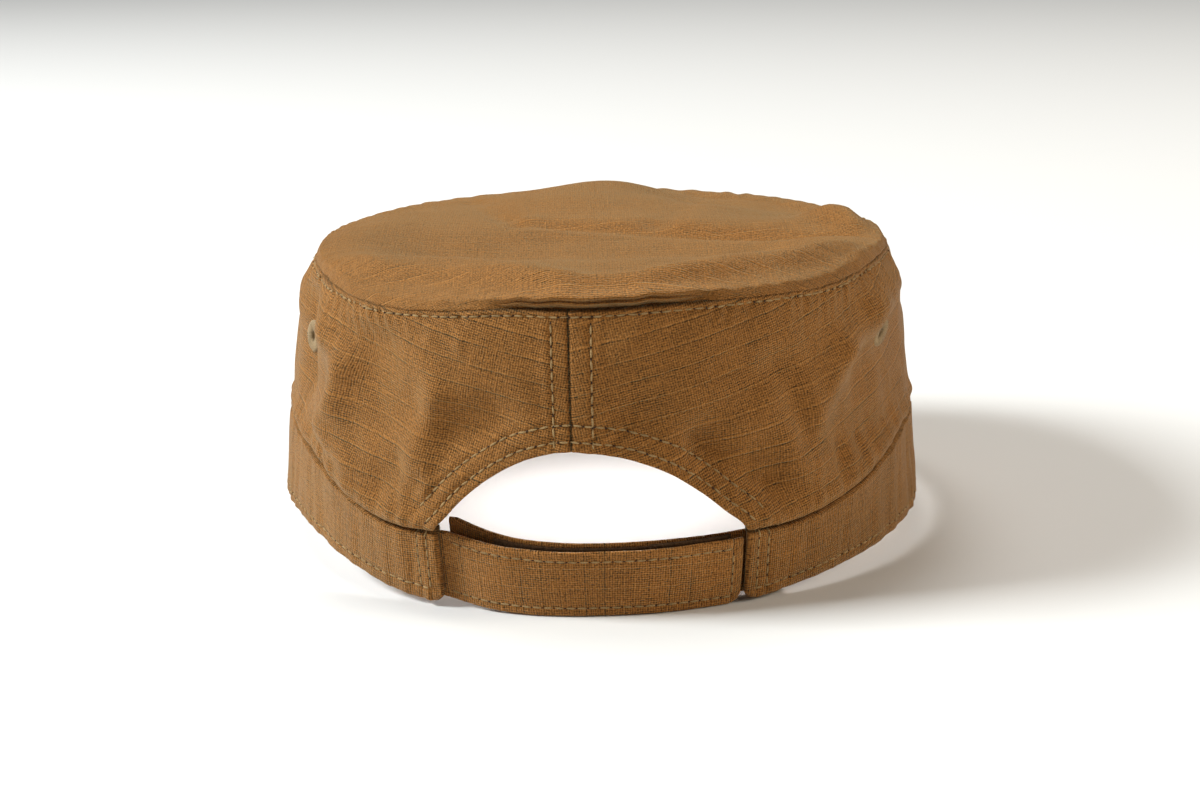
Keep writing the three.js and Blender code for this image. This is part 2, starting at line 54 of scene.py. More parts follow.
# Sections: angle, then the heights of the rim, of the seam above the band and of the seam round
# the top as shares of the crown height, then how far out the same three are, as shares of
# their ovals
SECTIONS = [
    (-165, 0.176, 0.467, 0.953, 1.035, 1.028, 1.008),
    (-145, 0.140, 0.440, 0.951, 1.022, 1.018, 1.004),
    (-125, 0.100, 0.420, 0.953, 1.008, 1.005, 1.000),
    (-110, 0.087, 0.413, 0.960, 1.000, 1.000, 1.000),
    (-92, 0.083, 0.420, 0.980, 0.997, 0.995, 1.000),
    (-78, 0.079, 0.424, 0.993, 0.996, 0.995, 1.000),
    (-68, 0.072, 0.407, 1.000, 0.998, 0.996, 1.000),
    (-58, 0.063, 0.357, 0.991, 1.000, 1.000, 1.000),
    (-45, 0.045, 0.293, 0.981, 1.000, 1.000, 1.000),
    (-34, 0.027, 0.261, 0.989, 1.000, 1.000, 1.000),
    (-24, 0.008, 0.259, 0.993, 1.000, 1.000, 1.000),
    (-12, 0.001, 0.248, 0.991, 1.000, 1.000, 1.000),
    (0, 0.004, 0.247, 0.984, 1.000, 1.000, 1.000),
    (12, 0.012, 0.253, 0.987, 1.000, 1.000, 1.000),
    (24, 0.027, 0.273, 0.973, 1.000, 1.000, 1.000),
    (35, 0.047, 0.280, 0.967, 1.000, 1.000, 1.000),
    (45, 0.085, 0.333, 0.973, 0.997, 0.995, 0.990),
    (55, 0.127, 0.403, 0.985, 0.990, 0.985, 0.972),
    (65, 0.150, 0.445, 0.997, 0.984, 0.975, 0.957),
    (78, 0.150, 0.468, 1.000, 0.980, 0.968, 0.944),
    (92, 0.138, 0.460, 0.987, 0.980, 0.968, 0.944),
    (110, 0.123, 0.440, 0.967, 0.988, 0.980, 0.962),
    (125, 0.113, 0.425, 0.957, 1.002, 1.000, 0.988),
    (145, 0.140, 0.435, 0.953, 1.022, 1.018, 1.004),
    (165, 0.176, 0.460, 0.953, 1.035, 1.028, 1.008),
    (180, 0.187, 0.473, 0.957, 1.040, 1.030, 1.010),
]

# Edge of the arch: angle, height as a share of the arch's rise
ARCH = [
    (-25.2, 0.46), (-23.6, 0.53), (-21.2, 0.60), (-18.2, 0.695), (-15.0, 0.78), (-12.0, 0.85),
    (-9.0, 0.90), (-6.0, 0.94), (-3.0, 0.97), (0.0, 0.99), (3.0, 1.0), (6.0, 0.985),
    (9.0, 0.955), (12.0, 0.905), (15.0, 0.84), (18.0, 0.76), (21.0, 0.66), (23.0, 0.58),
    (25.4, 0.49),
]

# Folds of the wall: angle and height share of both ends, half width and depth in mm, out positive
WALL_FOLDS = [
    (58, 0.97, 53, 0.84, 6, 1.0),
    (53, 0.84, 46, 0.75, 5, 1.4),
    (46, 0.75, 48, 0.62, 5, 1.5),
    (48, 0.62, 52, 0.54, 5, 1.4),
    (52, 0.54, 44, 0.42, 5, 1.2),
    (66, 0.84, 64, 0.68, 9, -3.0),
    (37, 0.80, 36, 0.60, 8, -1.4),
    (25, 0.68, 28, 0.42, 5, 1.2),
    (33, 0.46, 37, 0.36, 5, -1.3),
    (22, 0.58, 15, 0.66, 6, -0.9),
    (16, 0.96, 16, 0.86, 4, -1.0),
    (-76, 0.92, -60, 0.87, 6, 1.3),
    (-60, 0.87, -44, 0.70, 6, 1.3),
    (-70, 0.74, -54, 0.66, 9, -1.8),
    (-31, 0.68, -34, 0.52, 5, 1.1),
    (-34, 0.52, -37, 0.32, 5, 1.1),
    (-18, 0.56, -29, 0.40, 6, -2.0),
    (-6, 0.64, -18, 0.56, 5, -0.9),
    (-47, 0.50, -62, 0.47, 7, -1.5),
    (-22, 0.80, -27, 0.72, 5, -0.8),
]

# Creases of the wall that only the cloth has, in the same columns
WALL_CREASES = [
    (80, 0.90, 63, 0.77, 4, 1.0),
    (25, 0.71, 30, 0.49, 4, 0.9),
    (16, 0.95, 16, 0.85, 4, 1.1),
    (25, 0.95, 26, 0.89, 2.5, 0.5),
    (30, 0.95, 28, 0.91, 2.5, -0.5),
    (26, 0.59, 14, 0.62, 7, -1.3),
    (28, 0.43, 29, 0.34, 2.5, -0.9),
    (24, 0.46, 25, 0.39, 2.5, -0.7),
    (41, 0.77, 32, 0.68, 12, -1.2),
    (-4, 0.60, -19, 0.49, 6, -1.2),
    (-19, 0.49, -34, 0.35, 6, -1.6),
    (-32, 0.75, -36, 0.54, 5, -1.5),
    (-38, 0.67, -40, 0.56, 4, 1.0),
    (-73, 0.88, -48, 0.77, 4, 1.0),
    (-48, 0.77, -40, 0.60, 4, 0.9),
    (-46, 0.42, -46, 0.33, 2.5, -0.9),
    (-52, 0.45, -52, 0.39, 2.5, -0.8),
    (-49, 0.43, -49, 0.33, 3, 0.5),
    (-22, 0.37, -23, 0.33, 2, -0.5),
    (-8, 0.96, -6, 0.91, 3, 0.5),
    (120, 0.86, 138, 0.62, 7, 1.0),
    (168, 0.90, 150, 0.66, 8, -1.1),
    (-150, 0.84, -132, 0.60, 7, 1.1),
    (-112, 0.80, -98, 0.62, 7, -1.0),
    (98, 0.84, 106, 0.60, 6, 0.9),
    (-54, 0.86, -54, 0.68, 7, -0.8),
    (18.5, 0.97, 20, 0.87, 2.2, 0.5),
]

# Folds of the top: both ends as shares of the half width and half length, half width and height
# in mm, up positive
TOP_FOLDS = [
    (0.88, 0.50, 0.42, 0.62, 9, 1.8),
    (0.42, 0.62, 0.06, 0.88, 8, 1.8),
    (0.06, 0.90, -0.22, 0.89, 7, 1.6),
    (-0.22, 0.88, -0.54, 0.64, 8, 1.8),
    (-0.54, 0.64, -0.92, 0.47, 9, 1.8),
    (0.50, 0.28, -0.52, 0.34, 17, -2.6),
    (0.25, -0.05, -0.93, 0.20, 4, -1.2),
    (0.49, -0.62, 0.30, -0.15, 5, -1.2),
    (-0.38, -0.62, -0.22, -0.03, 5, -1.2),
    (0.10, -0.40, -0.06, -0.72, 18, 1.4),
    (-0.80, -0.18, -0.93, 0.06, 7, 1.6),
    (0.70, -0.20, 0.80, 0.15, 12, 1.0),
]

# Creases of the top that only the cloth has, in the same columns
TOP_CREASES = [
    (0.86, 0.50, 0.74, 0.60, 4, 0.7),
    (0.74, 0.60, 0.43, 0.72, 4, 0.8),
    (0.43, 0.72, 0.22, 0.83, 4, 0.8),
    (0.22, 0.83, 0.06, 0.93, 4, 0.7),
    (-0.16, 0.92, -0.39, 0.80, 4, 0.9),
    (-0.39, 0.80, -0.60, 0.67, 4, 0.9),
    (-0.60, 0.67, -0.82, 0.47, 4, 0.9),
    (0.52, -0.63, 0.21, -0.05, 4, 0.9),
    (-0.39, -0.64, -0.22, -0.08, 4, 0.9),
    (0.25, 0.12, -0.92, 0.08, 8, -1.0),
    (-0.82, -0.09, -0.90, 0.08, 5, 1.0),
    (-0.40, -0.70, -0.80, -0.34, 17, -2.6),
    (0.55, -0.70, 0.90, -0.20, 16, -0.9),
    (-0.10, -0.95, -0.40, -0.86, 12, -0.9),
]

EYELETS = {"left": (67, 0.765), "right": (-63, 0.76)}   # angle and share of the crown height
EYELET_TURN = {"left": 0.0, "right": 0.22}              # how far each leans toward the back
WALL_GAINS = (1.3, 1.25)     # times the depths in the wall's two tables
TOP_GAINS = (1.7, 1.3)       # the same for the top
RIB, WARP = 0.00058, 0.00064   # metres from rib to rib of the weave, across and along
WEAVE_LEAN = 0.22            # how far the side panels' weave leans
WAVES, RIPPLES = 6, 12       # waves that add up to one uneven line or plane
RIM_POWER, SEAM_POWER, TOP_POWER, VISOR_POWER = 2.0, 2.1, 2.2, 2.5   # how square the ovals are
ORIGIN = np.array((-0.728, -31.811, 0.0))   # middle of the cap's box, in the cap's own mm

# Angles in degrees
BACK_SEAM, FRONT_SEAM = 2.2, 112.0      # centre back seam, and the front seam on each side
BAND_END_LEFT, BAND_END_RIGHT = 25.0, -25.2
OUTER_END, INNER_END = -24.7, 25.5      # seen ends of the two straps
OUTER_END_ROW = -22.8                   # upright row of stitches at the outer strap's end
LIP_MIDDLE, LIP_SPAN = -2.5, 17.0       # lip of the top over the back of its seam
VISOR_SPAN = 58.0                       # from the front to each end of the visor

# Lengths in mm
ARC, EDGE_ARC, BACK_ARC = 1.55, 1.6, 1.66   # to a degree: for folds, for edges, at the back
FURROW, WIDE_FURROW = 0.55, 0.7         # half width of the furrow under a row of stitches
SEAM_ROWS = (-5.0, 4.0)                 # from the back seam to its two rows, toward +X positive
CROWN_ROW = 1.35                        # from the crown seam down to its row
ARCH_ROWS = (2.5, 6.4)                  # from the edge of the arch to its two rows
ARCH_REACH = 62.0                       # round the wall, how far from the middle the arch tells
BAND_ROW = 2.4                          # from the lower edge of the band to its row
BAND_END_ROWS = (3.2, 6.3)              # from an end of the band to its two rows
STRAP_LOW_ROW, STRAP_HIGH_ROW, STRAP_END_ROW = 2.3, 2.5, 3.1   # from the outer strap's edges
VISOR_ROW, VISOR_RUN = 3.4, 62.0        # from the visor's edge to its row, and to the band
VISOR_TIP, VISOR_SIDE = 9.5, 3.0        # height of the visor's edge in front and at its sides
CORNER = 4.0                            # radius of the corners of the band and the straps
LIP_INSET = 1.6                         # how far in the lip starts
TOP_RUN, TOP_FLAT = 86.0, 85.0          # edge of the top to its middle, along the cloth and flat
LAYER_GAP = 0.3                         # between two layers of the straps


# Sizes and colours
def length(name, text, default):
    """A size in metres for the sidebar."""
    return FloatProperty(name=name, description=text, default=default, min=0.0001, max=0.3,
                         precision=4, unit="LENGTH")


def colour(name, text, default):
    """A colour for the sidebar."""
    return FloatVectorProperty(name=name, description=text, default=default, size=3, min=0.0,
                               max=1.0, subtype="COLOR")


class CapSizes(bpy.types.PropertyGroup):
    """Sizes of the cap."""
    crown_height: length("Crown height", "Floor to the seam round the top", 0.075)
    rim_half_width: length("Rim half width", "Outside of the band at its lower edge", 0.086)
    rim_half_length: length("Rim half length", "The same, front to back", 0.095)
    seam_half_width: length("Seam half width", "Outside of the wall above the band", 0.085)
    seam_half_length: length("Seam half length", "The same, front to back", 0.0985)
    top_half_width: length("Top half width", "Outside of the wall at the top seam", 0.0775)
    top_half_length: length("Top half length", "The same, front to back", 0.093)
    cloth: length("Cloth", "Thickness of the crown cloth", 0.0015)
    band_cloth: length("Band", "Thickness of the doubled band", 0.0024)
    strap_cloth: length("Strap", "Thickness of a strap", 0.0016)
    tape_cloth: length("Tape", "Thickness of a fastener tape", 0.0010)
    strap_height: length("Strap height", "Height of a strap", 0.0169)
    arch_rise: length("Arch", "Floor to the top of the arch", 0.0412)
    puff: length("Puff", "Rise of the top just inside its seam", 0.0036)
    visor_length: length("Visor length", "Front of the band to the tip", 0.062)
    visor_half_width: length("Visor half width", "Half the width of the visor", 0.076)
    visor_cloth: length("Visor thickness", "Cloth and board together", 0.003)
    stitch: length("Stitch", "Length of one stitch", 0.0022)
    stitch_step: length("Stitch step", "From one stitch to the next", 0.0027)
    thread: length("Thread", "Thickness of the thread", 0.00054)
    grid: length("Grid", "Spacing of the ripstop grid", 0.0053)


class CapColours(bpy.types.PropertyGroup):
    """Colours of the cap."""
    cloth: colour("Cloth", "Coyote brown of the crown, band and visor", (0.236, 0.089, 0.019))
    # the straps are the crown's cloth; their lighter brown is painted light, for more light on the
    # straps
    strap: colour("Straps", "Brown of the two straps", (0.274, 0.105, 0.024))
    tape: colour("Tape", "Brown of the hook and loop tape", (0.070, 0.036, 0.016))
    thread: colour("Thread", "Sewing thread of the rows", (0.33, 0.212, 0.088))
    # painted shade: the needle holes' deep brown stands for the shadow inside them
    hole: colour("Needle holes", "Dark holes between two stitches", (0.040, 0.018, 0.007))
    eyelet: colour("Eyelet thread", "Thread of the two eyelets", (0.30, 0.21, 0.11))
    floor: colour("Floor", "Pale floor", (0.76, 0.76, 0.76))


def mm(name):
    """A size of the cap in millimetres."""
    return getattr(bpy.context.scene.cap_sizes, name) * 1000.0


# Curves and surfaces
def mix(a, b, t):
    """Straight line from a to b."""
    return a + (b - a) * t


def bell(distance, width):
    """1 where the distance is nothing, falling to 0 on both sides."""
    return np.exp(-((distance / width) ** 2))


def fade(distance, reach):
    """1 at and below nothing, dying away above it."""
    return np.exp(-np.clip(distance, 0, 99) / reach)


def rise(value, width):
    """0 at and below nothing, rising to 1 within about the width."""
    return np.tanh(np.clip(value, 0, 99) / width)


def within(distance, soft):
    """1 below nothing and 0 above it, with a soft step between."""
    return 0.5 - 0.5 * np.tanh(distance / soft)


def least(*values):
    """The smallest of several values at each place."""
    return np.minimum.reduce(np.broadcast_arrays(*values))


def through(table, column, angle, closed=True):
    """Smooth curve through one column of a table; a closed one repeats at 360 degrees."""
    rows = np.array(table, float)
    knots, values = rows[:, 0], rows[:, column]
    if closed:
        a = (np.asarray(angle, float) - knots[0]) % 360 + knots[0]
        knots = np.concatenate([knots[-1:] - 360, knots, knots[:2] + 360])
        values = np.concatenate([values[-1:], values, values[:2]])
    else:
        a = np.clip(np.asarray(angle, float), knots[0], knots[-1])
        knots = np.concatenate([knots[:1], knots, knots[-1:]])
        values = np.concatenate([values[:1], values, values[-1:]])
    k = np.clip(np.searchsorted(knots, a, side="right") - 1, 1, len(knots) - 3)
    wide = knots[k + 1] - knots[k]
    t = (a - knots[k]) / wide
    m0 = (values[k + 1] - values[k - 1]) / (knots[k + 1] - knots[k - 1]) * wide
    m1 = (values[k + 2] - values[k]) / (knots[k + 2] - knots[k]) * wide
    return ((2 * t**3 - 3 * t**2 + 1) * values[k] + (t**3 - 2 * t**2 + t) * m0
            + (3 * t**2 - 2 * t**3) * values[k + 1] + (t**3 - t**2) * m1)


def rim_height(angle):
    """Height of the band's lower edge."""
    return mm("crown_height") * through(SECTIONS, 1, angle)


def seam_height(angle):
    """Height of the seam above the band."""
    return mm("crown_height") * through(SECTIONS, 2, angle)


def top_height(angle):
    """Height of the seam round the top."""
    return mm("crown_height") * through(SECTIONS, 3, angle)


def oval(angle, half_width, half_length, power):
    """Point of a rounded oval."""
    s, c = np.sin(np.radians(angle)), np.cos(np.radians(angle))
    return (half_width * np.sign(s) * np.abs(s) ** (2 / power),
            half_length * np.sign(c) * np.abs(c) ** (2 / power))


def plan_at(angle, height):
    """Plan of the wall and the band at a height."""
    rim, seam, top = rim_height(angle), seam_height(angle), top_height(angle)
    low = np.clip((height - rim) / (seam - rim), -0.5, 1)
    v = np.clip((height - seam) / (top - seam), 0, 1)
    high = 0.6 * v + 0.4 * v**6

    def blend(at_rim, at_seam, at_top):
        return np.where(height < seam, mix(at_rim, at_seam, low), mix(at_seam, at_top, high))

    reach = blend(*(through(SECTIONS, column, angle) for column in (4, 5, 6)))
    wide, long = (blend(*(mm(f"{ring}_half_{way}") for ring in ("rim", "seam", "top")))
                  for way in ("width", "length"))
    return oval(angle, wide * reach, long * reach, blend(RIM_POWER, SEAM_POWER, TOP_POWER))


def stroke(x, y, ends, width, depth):
    """Height of one fold of a table at a place, all in mm."""
    x0, y0, x1, y1 = ends
    dx, dy = x1 - x0, y1 - y0
    t = np.clip(((x - x0) * dx + (y - y0) * dy) / (dx * dx + dy * dy), 0, 1)
    return depth * np.exp(-((x - x0 - dx * t) ** 2 + (y - y0 - dy * t) ** 2) / width**2)


def signed(angle):
    """The same angle between -180 and 180."""
    return (np.asarray(angle, float) + 180) % 360 - 180


def wall_fold(angle, height):
    """Depth of the wall's folds and creases at a place."""
    tall = mm("crown_height")
    out = 0
    for gain, table in zip(WALL_GAINS, (WALL_FOLDS, WALL_CREASES)):
        for a0, h0, a1, h1, width, depth in table:
            ends = (a0 * ARC, h0 * tall, a1 * ARC, h1 * tall)
            out = out + stroke(signed(angle) * ARC, height, ends, width, depth * gain)
    v = np.clip((height - seam_height(angle)) / (top_height(angle) - seam_height(angle)), 0, 1)
    out = out * (1 - 0.4 * rise(np.abs(signed(angle)) - 74, 10))
    return out * np.clip(v * 6, 0.15, 1) * np.clip((1 - v) * 7, 0.1, 1)


def wall_point(angle, height, move):
    """Point of the wall or the band, moved out along its level normal."""
    x, y = plan_at(angle, height)
    ax, ay = plan_at(angle - 0.6, height)
    bx, by = plan_at(angle + 0.6, height)
    size = np.hypot(bx - ax, by - ay)
    x = x - (by - ay) / size * move
    y = y + (bx - ax) / size * move
    return np.stack(np.broadcast_arrays(x, y, np.asarray(height, float)), -1)


def round_length(angle):
    """Length round the wall from the middle of the back, in mm."""
    steps = np.linspace(-190, 190, 761)
    x, y = oval(steps, mm("seam_half_width"), mm("seam_half_length"), SEAM_POWER)
    run = np.concatenate([[0], np.cumsum(np.hypot(np.diff(x), np.diff(y)))])
    return np.interp(signed(angle), steps, run - np.interp(0, steps, run))


def wave(x, dice, short, long):
    """One wave along a line, its length and its start drawn."""
    return np.sin(2 * np.pi * x / dice.uniform(short, long) + dice.uniform(0, 6.28))


def waves(x, seed, short, long):
    """Uneven waves along a line, between about -1 and 1."""
    dice = np.random.default_rng(seed)
    return sum(wave(x, dice, short, long) for _ in range(WAVES)) / np.sqrt(WAVES * 1.2)


def ripples(x, y, seed, short, long):
    """Uneven soft waves on a plane, between about -1 and 1."""
    dice = np.random.default_rng(seed)
    out = 0
    for _ in range(RIPPLES):
        turn = dice.uniform(0, np.pi)
        out = out + wave(x * np.cos(turn) + y * np.sin(turn), dice, short, long)
    return out / np.sqrt(RIPPLES * 0.9)


def arch_height(angle):
    """Height of the arch's edge, or far below where there is none."""
    a = signed(angle)
    inside = (a > ARCH[0][0]) & (a < ARCH[-1][0])
    return np.where(inside, mm("arch_rise") * through(ARCH, 1, a, closed=False), -50.0)


def arch_distance(angle, height):
    """Distance from the arch's edge along the cloth, in mm."""
    edge = np.linspace(ARCH[0][0], ARCH[-1][0], 90)
    x0, y0 = round_length(edge), mm("arch_rise") * through(ARCH, 1, edge, closed=False)
    x, y = round_length(angle), np.asarray(height, float)
    out = np.full(np.broadcast(x, y).shape, 1e9)
    near = np.abs(x) < ARCH_REACH
    points = np.stack([np.broadcast_to(x, out.shape)[near], np.broadcast_to(y, out.shape)[near]], 1)
    best = np.full(len(points), 1e9)
    for k in range(len(edge) - 1):
        a = np.array((x0[k], y0[k]))
        d = np.array((x0[k + 1], y0[k + 1])) - a
        t = np.clip(((points - a) @ d) / (d @ d), 0, 1)
        best = np.minimum(best, np.hypot(*(points - a - t[:, None] * d).T))
    out[near] = best
    return out


def wall_surface(angle, height, depth=0.0):
    """Outer face of the wall with its puckers, hems and furrows, or a face deeper in."""
    s = round_length(angle)
    side = np.abs(signed(angle))
    up, down = height - seam_height(angle), top_height(angle) - height
    move = wall_fold(angle, height)
    move = move + 0.25 * ripples(s, height, 3, 14, 34) + 0.07 * ripples(s, height, 4, 5, 11)
    # puckers that hang from the crown seam, finer and longer toward the sides
    lean = s + 0.35 * np.sign(signed(angle)) * down
    flank = bell(side - 58, 20)
    hang = fade(down - CROWN_ROW, 2.6 + 3.2 * flank + 1.6 * waves(s, 5, 25, 60) ** 2)
    pucker = 0.20 * waves(lean, 7, 5.2, 10.5) + (0.14 + 0.16 * flank) * waves(lean, 8, 3.2, 4.4)
    move = move + hang * pucker * np.clip(down / 1.5, 0, 1)
    # rounded strip above the row of stitches
    move = move + 0.30 * bell(down - 0.75, 0.6) - 0.5 * fade(down, 0.25)
    move = move - 0.42 * bell(down - CROWN_ROW, FURROW)
    # puff over the band seam, which draws in small upright puckers
    beside = np.clip((side - 22) / 4, 0, 1)
    upright = 0.34 * waves(s, 11, 7, 15) + 0.20 * waves(s, 12, 3.5, 6)
    move = move + 0.75 * beside * bell(up - 2.4, 2.2) + fade(up, 7.0) * upright * rise(up, 1.2)
    move = move - 0.25 * beside * (1 - rise(up, 0.35)) - 0.7 * bell(side - 86, 28) * fade(up, 16)
    # hem round the arch, with its two rows
    edge = arch_distance(angle, height)
    hem = within(edge - 9.0, 0.9)
    move = move + 0.40 * hem + 0.10 * hem * waves(s + height, 17, 4, 9)
    for row in ARCH_ROWS:
        move = move - 0.32 * bell(edge - row, WIDE_FURROW)
    # centre back seam, with a row on each side
    back = s - round_length(BACK_SEAM)
    felled = within(np.abs(back + 0.6) - 7.0, 0.7)
    move = move + 0.30 * felled * (1 - hem) - 0.45 * bell(back, 0.5)
    for row in SEAM_ROWS:
        move = move - 0.30 * bell(back - row, WIDE_FURROW)
    return wall_point(angle, height, move - depth)


def band_surface(angle, height, depth=0.0):
    """Outer face of the band."""
    s = round_length(angle)
    up, down = height - rim_height(angle), seam_height(angle) - height
    flare = bell(np.abs(signed(angle)) - 82, 30) * np.clip(1.1 - up / 26, 0, 1)
    move = flare - 0.25 + 0.14 * ripples(s, height, 23, 10, 30)
    move = move + 0.16 * waves(s, 29, 6, 13) + 0.07 * waves(s + 0.2 * up, 30, 2.8, 5)
    a = np.mod(angle, 360)
    ends = np.minimum(a - BAND_END_LEFT, 360 + BAND_END_RIGHT - a) * BACK_ARC
    sunk = 1.15 * np.clip(ends / 7, 0.35, 1)
    move = move - sunk - sunk * np.tanh((1.0 - down) / 0.22)
    for distance in (up - BAND_ROW, *(ends - row for row in BAND_END_ROWS)):
        move = move - 0.24 * bell(distance, FURROW)
    return wall_point(signed(angle), height, move - depth)


def corner(away):
    """How far a rounded corner rises at a distance from the end."""
    d = np.clip(CORNER - away, 0, CORNER)
    return CORNER - np.sqrt(CORNER**2 - d**2)


def lift(angle, start, end, high):
    """A height that grows with the square of the angle."""
    return high * np.clip((angle - start) / (end - start), 0, 1) ** 2


def strap_depth(angle):
    """How far the outer strap lies inside the band's outside."""
    return mix(1.0, 0.7 + mm("band_cloth"), np.clip((angle - 13) / 11, 0, 1))


def outer_low(angle):
    """Lower edge of the outer strap."""
    return lift(angle, 8, 26, 2.0) + corner(np.abs(angle - OUTER_END) * ARC)


def outer_high(angle):
    """Upper edge of the outer strap."""
    return mm("strap_height") + lift(angle, 0, 24, 2.8) + lift(-angle, 0, 24, 0.5)


def inner_rise(angle):
    """How far the inner strap climbs toward its end."""
    return 0.8 + lift(angle, 0, 24, 4.2)


def strap_surface(angle, height, depth=0.0):
    """A face of the outer strap."""
    move = 0.12 * ripples(round_length(angle), height, 31, 9, 26)
    for distance in (height - outer_low(angle) - STRAP_LOW_ROW,
                     outer_high(angle) - height - STRAP_HIGH_ROW,
                     (angle - OUTER_END) * BACK_ARC - STRAP_END_ROW):
        move = move - 0.2 * bell(distance, FURROW)
    return wall_point(angle, height, move - strap_depth(angle) - depth)


def whole_round():
    """The length once round the seam, in mm."""
    return 2 * abs(float(round_length(180.0)))


def top_surface(x, y):
    """Height of the top of the crown at a place, in mm."""
    half = (mm("top_half_width"), mm("top_half_length"))
    px, py = (np.sign(a) * np.abs(a / b) ** (TOP_POWER / 2) for a, b in zip((x, y), half))
    angle = np.degrees(np.arctan2(px, py))
    s = np.hypot(px, py) ** (2 / TOP_POWER) / through(SECTIONS, 6, angle)
    edge = mix(0.975 * mm("crown_height"), top_height(angle), np.minimum(1, s) ** 2)
    folds = 0
    for gain, table in zip(TOP_GAINS, (TOP_FOLDS, TOP_CREASES)):
        # crests that meet take the greatest height, and hollows add up
        crest = 0
        for x0, y0, x1, y1, width, high in table:
            ends = (x0 * half[0], y0 * half[1], x1 * half[0], y1 * half[1])
            fold = stroke(x, y, ends, width, high * gain)
            if high > 0:
                crest = np.maximum(crest, fold)
            else:
                folds = folds + fold
        folds = folds + crest
    puff = mm("puff") * (1 - np.minimum(1, s) ** 7)
    inward = np.clip(1 - s, 0, 1) * TOP_FLAT
    run = round_length(angle)
    crease = 0.24 * np.exp(-inward / 6) * np.clip(inward / 1.5, 0, 1) * waves(run, 37, 6, 12)
    crease = crease + 0.30 * ripples(x * 0.5, y, 41, 16, 45) * np.clip(inward / 10, 0, 1)
    return edge + 0.3 + mm("cloth") + puff + folds * np.clip((1 - s) * 9, 0, 1) + crease


def visor_surface(turn, t, under=0.0):
    """A face of the visor: turn runs round it, t from the band to its edge."""
    angle = np.where(turn < 0, -180 - turn, 180 - turn)
    root = wall_point(angle, rim_height(angle), -0.6 - mm("band_cloth"))
    share = turn / VISOR_SPAN
    swing = share * 90 * (1 - 0.06 * (1 - share * share))
    centre = -mm("rim_half_length") * np.cos(np.radians(VISOR_SPAN))
    reach = mm("rim_half_length") * SECTIONS[-1][4] + mm("visor_length") + centre
    px, py = oval(swing, mm("visor_half_width"), reach, VISOR_POWER)
    edge = mix(VISOR_TIP, VISOR_SIDE, np.sin(np.radians(share * 90)) ** 2)
    bulge = 1.2 * np.sin(np.pi * t) * (1 - share * share)
    return np.stack([mix(root[..., 0], px, t), mix(root[..., 1], centre - py, t),
                     mix(root[..., 2] - 0.3, edge, t) + bulge - under], -1)


# Cloth pieces
def sheet_grid(columns, rows):
    """A bmesh grid as a mesh, with the column and row of each of its points."""
    bm = bmesh.new()
    bmesh.ops.create_grid(bm, x_segments=columns - 1, y_segments=rows - 1, size=0.5)
    mesh = bpy.data.meshes.new("cloth")
    bm.to_mesh(mesh)
    bm.free()
    co = np.empty(len(mesh.vertices) * 3)
    mesh.vertices.foreach_get("co", co)
    co = co.reshape(-1, 3)
    i = np.rint((co[:, 0] + 0.5) * (columns - 1)).astype(int)
    j = np.rint((co[:, 1] + 0.5) * (rows - 1)).astype(int)
    return mesh, i, j


def edge_round(distance, radius):
    """1 inside the cloth, falling to 0 at its edge along a quarter circle."""
    t = np.clip(distance / radius, 0, 1)
    return np.sqrt(np.clip(1 - (1 - t) ** 2, 0, 1))


def cloth_piece(name, us, vs, place, thickness, edge, uv, seam=None):
    """A sheet of cloth with rounded edges. place(u, v, depth) gives its points in mm, edge(u, v)
    the distance from its edge, uv(u, v) where the weave lies and seam(u, v) how far the place is
    from the seam's crease, where shade is painted along it, all in mm."""
    body = bmesh.new()
    for face in (-1, 1):
        mesh, i, j = sheet_grid(len(us), len(vs))
        u, v = us[i], vs[j]
        half = thickness / 2 * edge_round(edge(u, v), thickness * 0.38)
        points = place(u, v, thickness / 2 + face * half)
        mesh.vertices.foreach_set("co", ((points - ORIGIN) / 1000).ravel())
        corners = np.empty(len(mesh.loops), int)
        mesh.loops.foreach_get("vertex_index", corners)
        maps = {"Cloth": uv(u, v)}
        # map of the distance to the seam's crease, for the shade painted along it
        if seam:
            maps["Seam"] = (seam(u, v),) * 2
        for label, flat in maps.items():
            layer = mesh.uv_layers.new(name=label)
            layer.data.foreach_set("uv", (np.stack(flat, 1)[corners] / 1000).ravel())
        part = bmesh.new()
        part.from_mesh(mesh)
        if face > 0:
            bmesh.ops.reverse_faces(part, faces=part.faces)
        part.to_mesh(mesh)
        part.free()
        body.from_mesh(mesh)
        bpy.data.meshes.remove(mesh)
    return closed(name, body, 1.5e-6)


def ring_piece(name, us, vs, foot, head, ends, surface, thickness, weave, seam=None):
    """Cloth between two lines of height round the cap; ends gives the distance from its other
    edges, and like the surface, the weave and the seam it is asked at an angle and a height."""
    def at(u, v):
        return mix(foot(u), head(u), v)

    def edge(u, v):
        height = at(u, v)
        return least(height - foot(u), head(u) - height, ends(u, height))

    return cloth_piece(name, us, vs, lambda u, v, depth: surface(u, at(u, v), depth), thickness,
                       edge, lambda u, v: weave(u, at(u, v)),
                       seam and (lambda u, v: seam(u, at(u, v))))


def closed(name, bm, nearest):
    """A new object from a bmesh, its doubles merged and its faces turned out."""
    bmesh.ops.remove_doubles(bm, verts=bm.verts, dist=nearest)
    bmesh.ops.recalc_face_normals(bm, faces=bm.faces)
    return finished(name, bm)


def finished(name, bm, smooth=True):
    """A new object from a bmesh."""
    mesh = bpy.data.meshes.new(name)
    bm.to_mesh(mesh)
    bm.free()
    mesh.polygons.foreach_set("use_smooth", [smooth] * len(mesh.polygons))
    piece = bpy.data.objects.new(name, mesh)
    bpy.context.scene.collection.objects.link(piece)
    return piece


def dress(piece, material, slot, *nodes):
    """Gives a piece its material, hangs it under the root body and hides the solids it stands for.
    """
    piece.data.materials.append(material)
    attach(piece, "root")
    if nodes:
        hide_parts(*nodes)


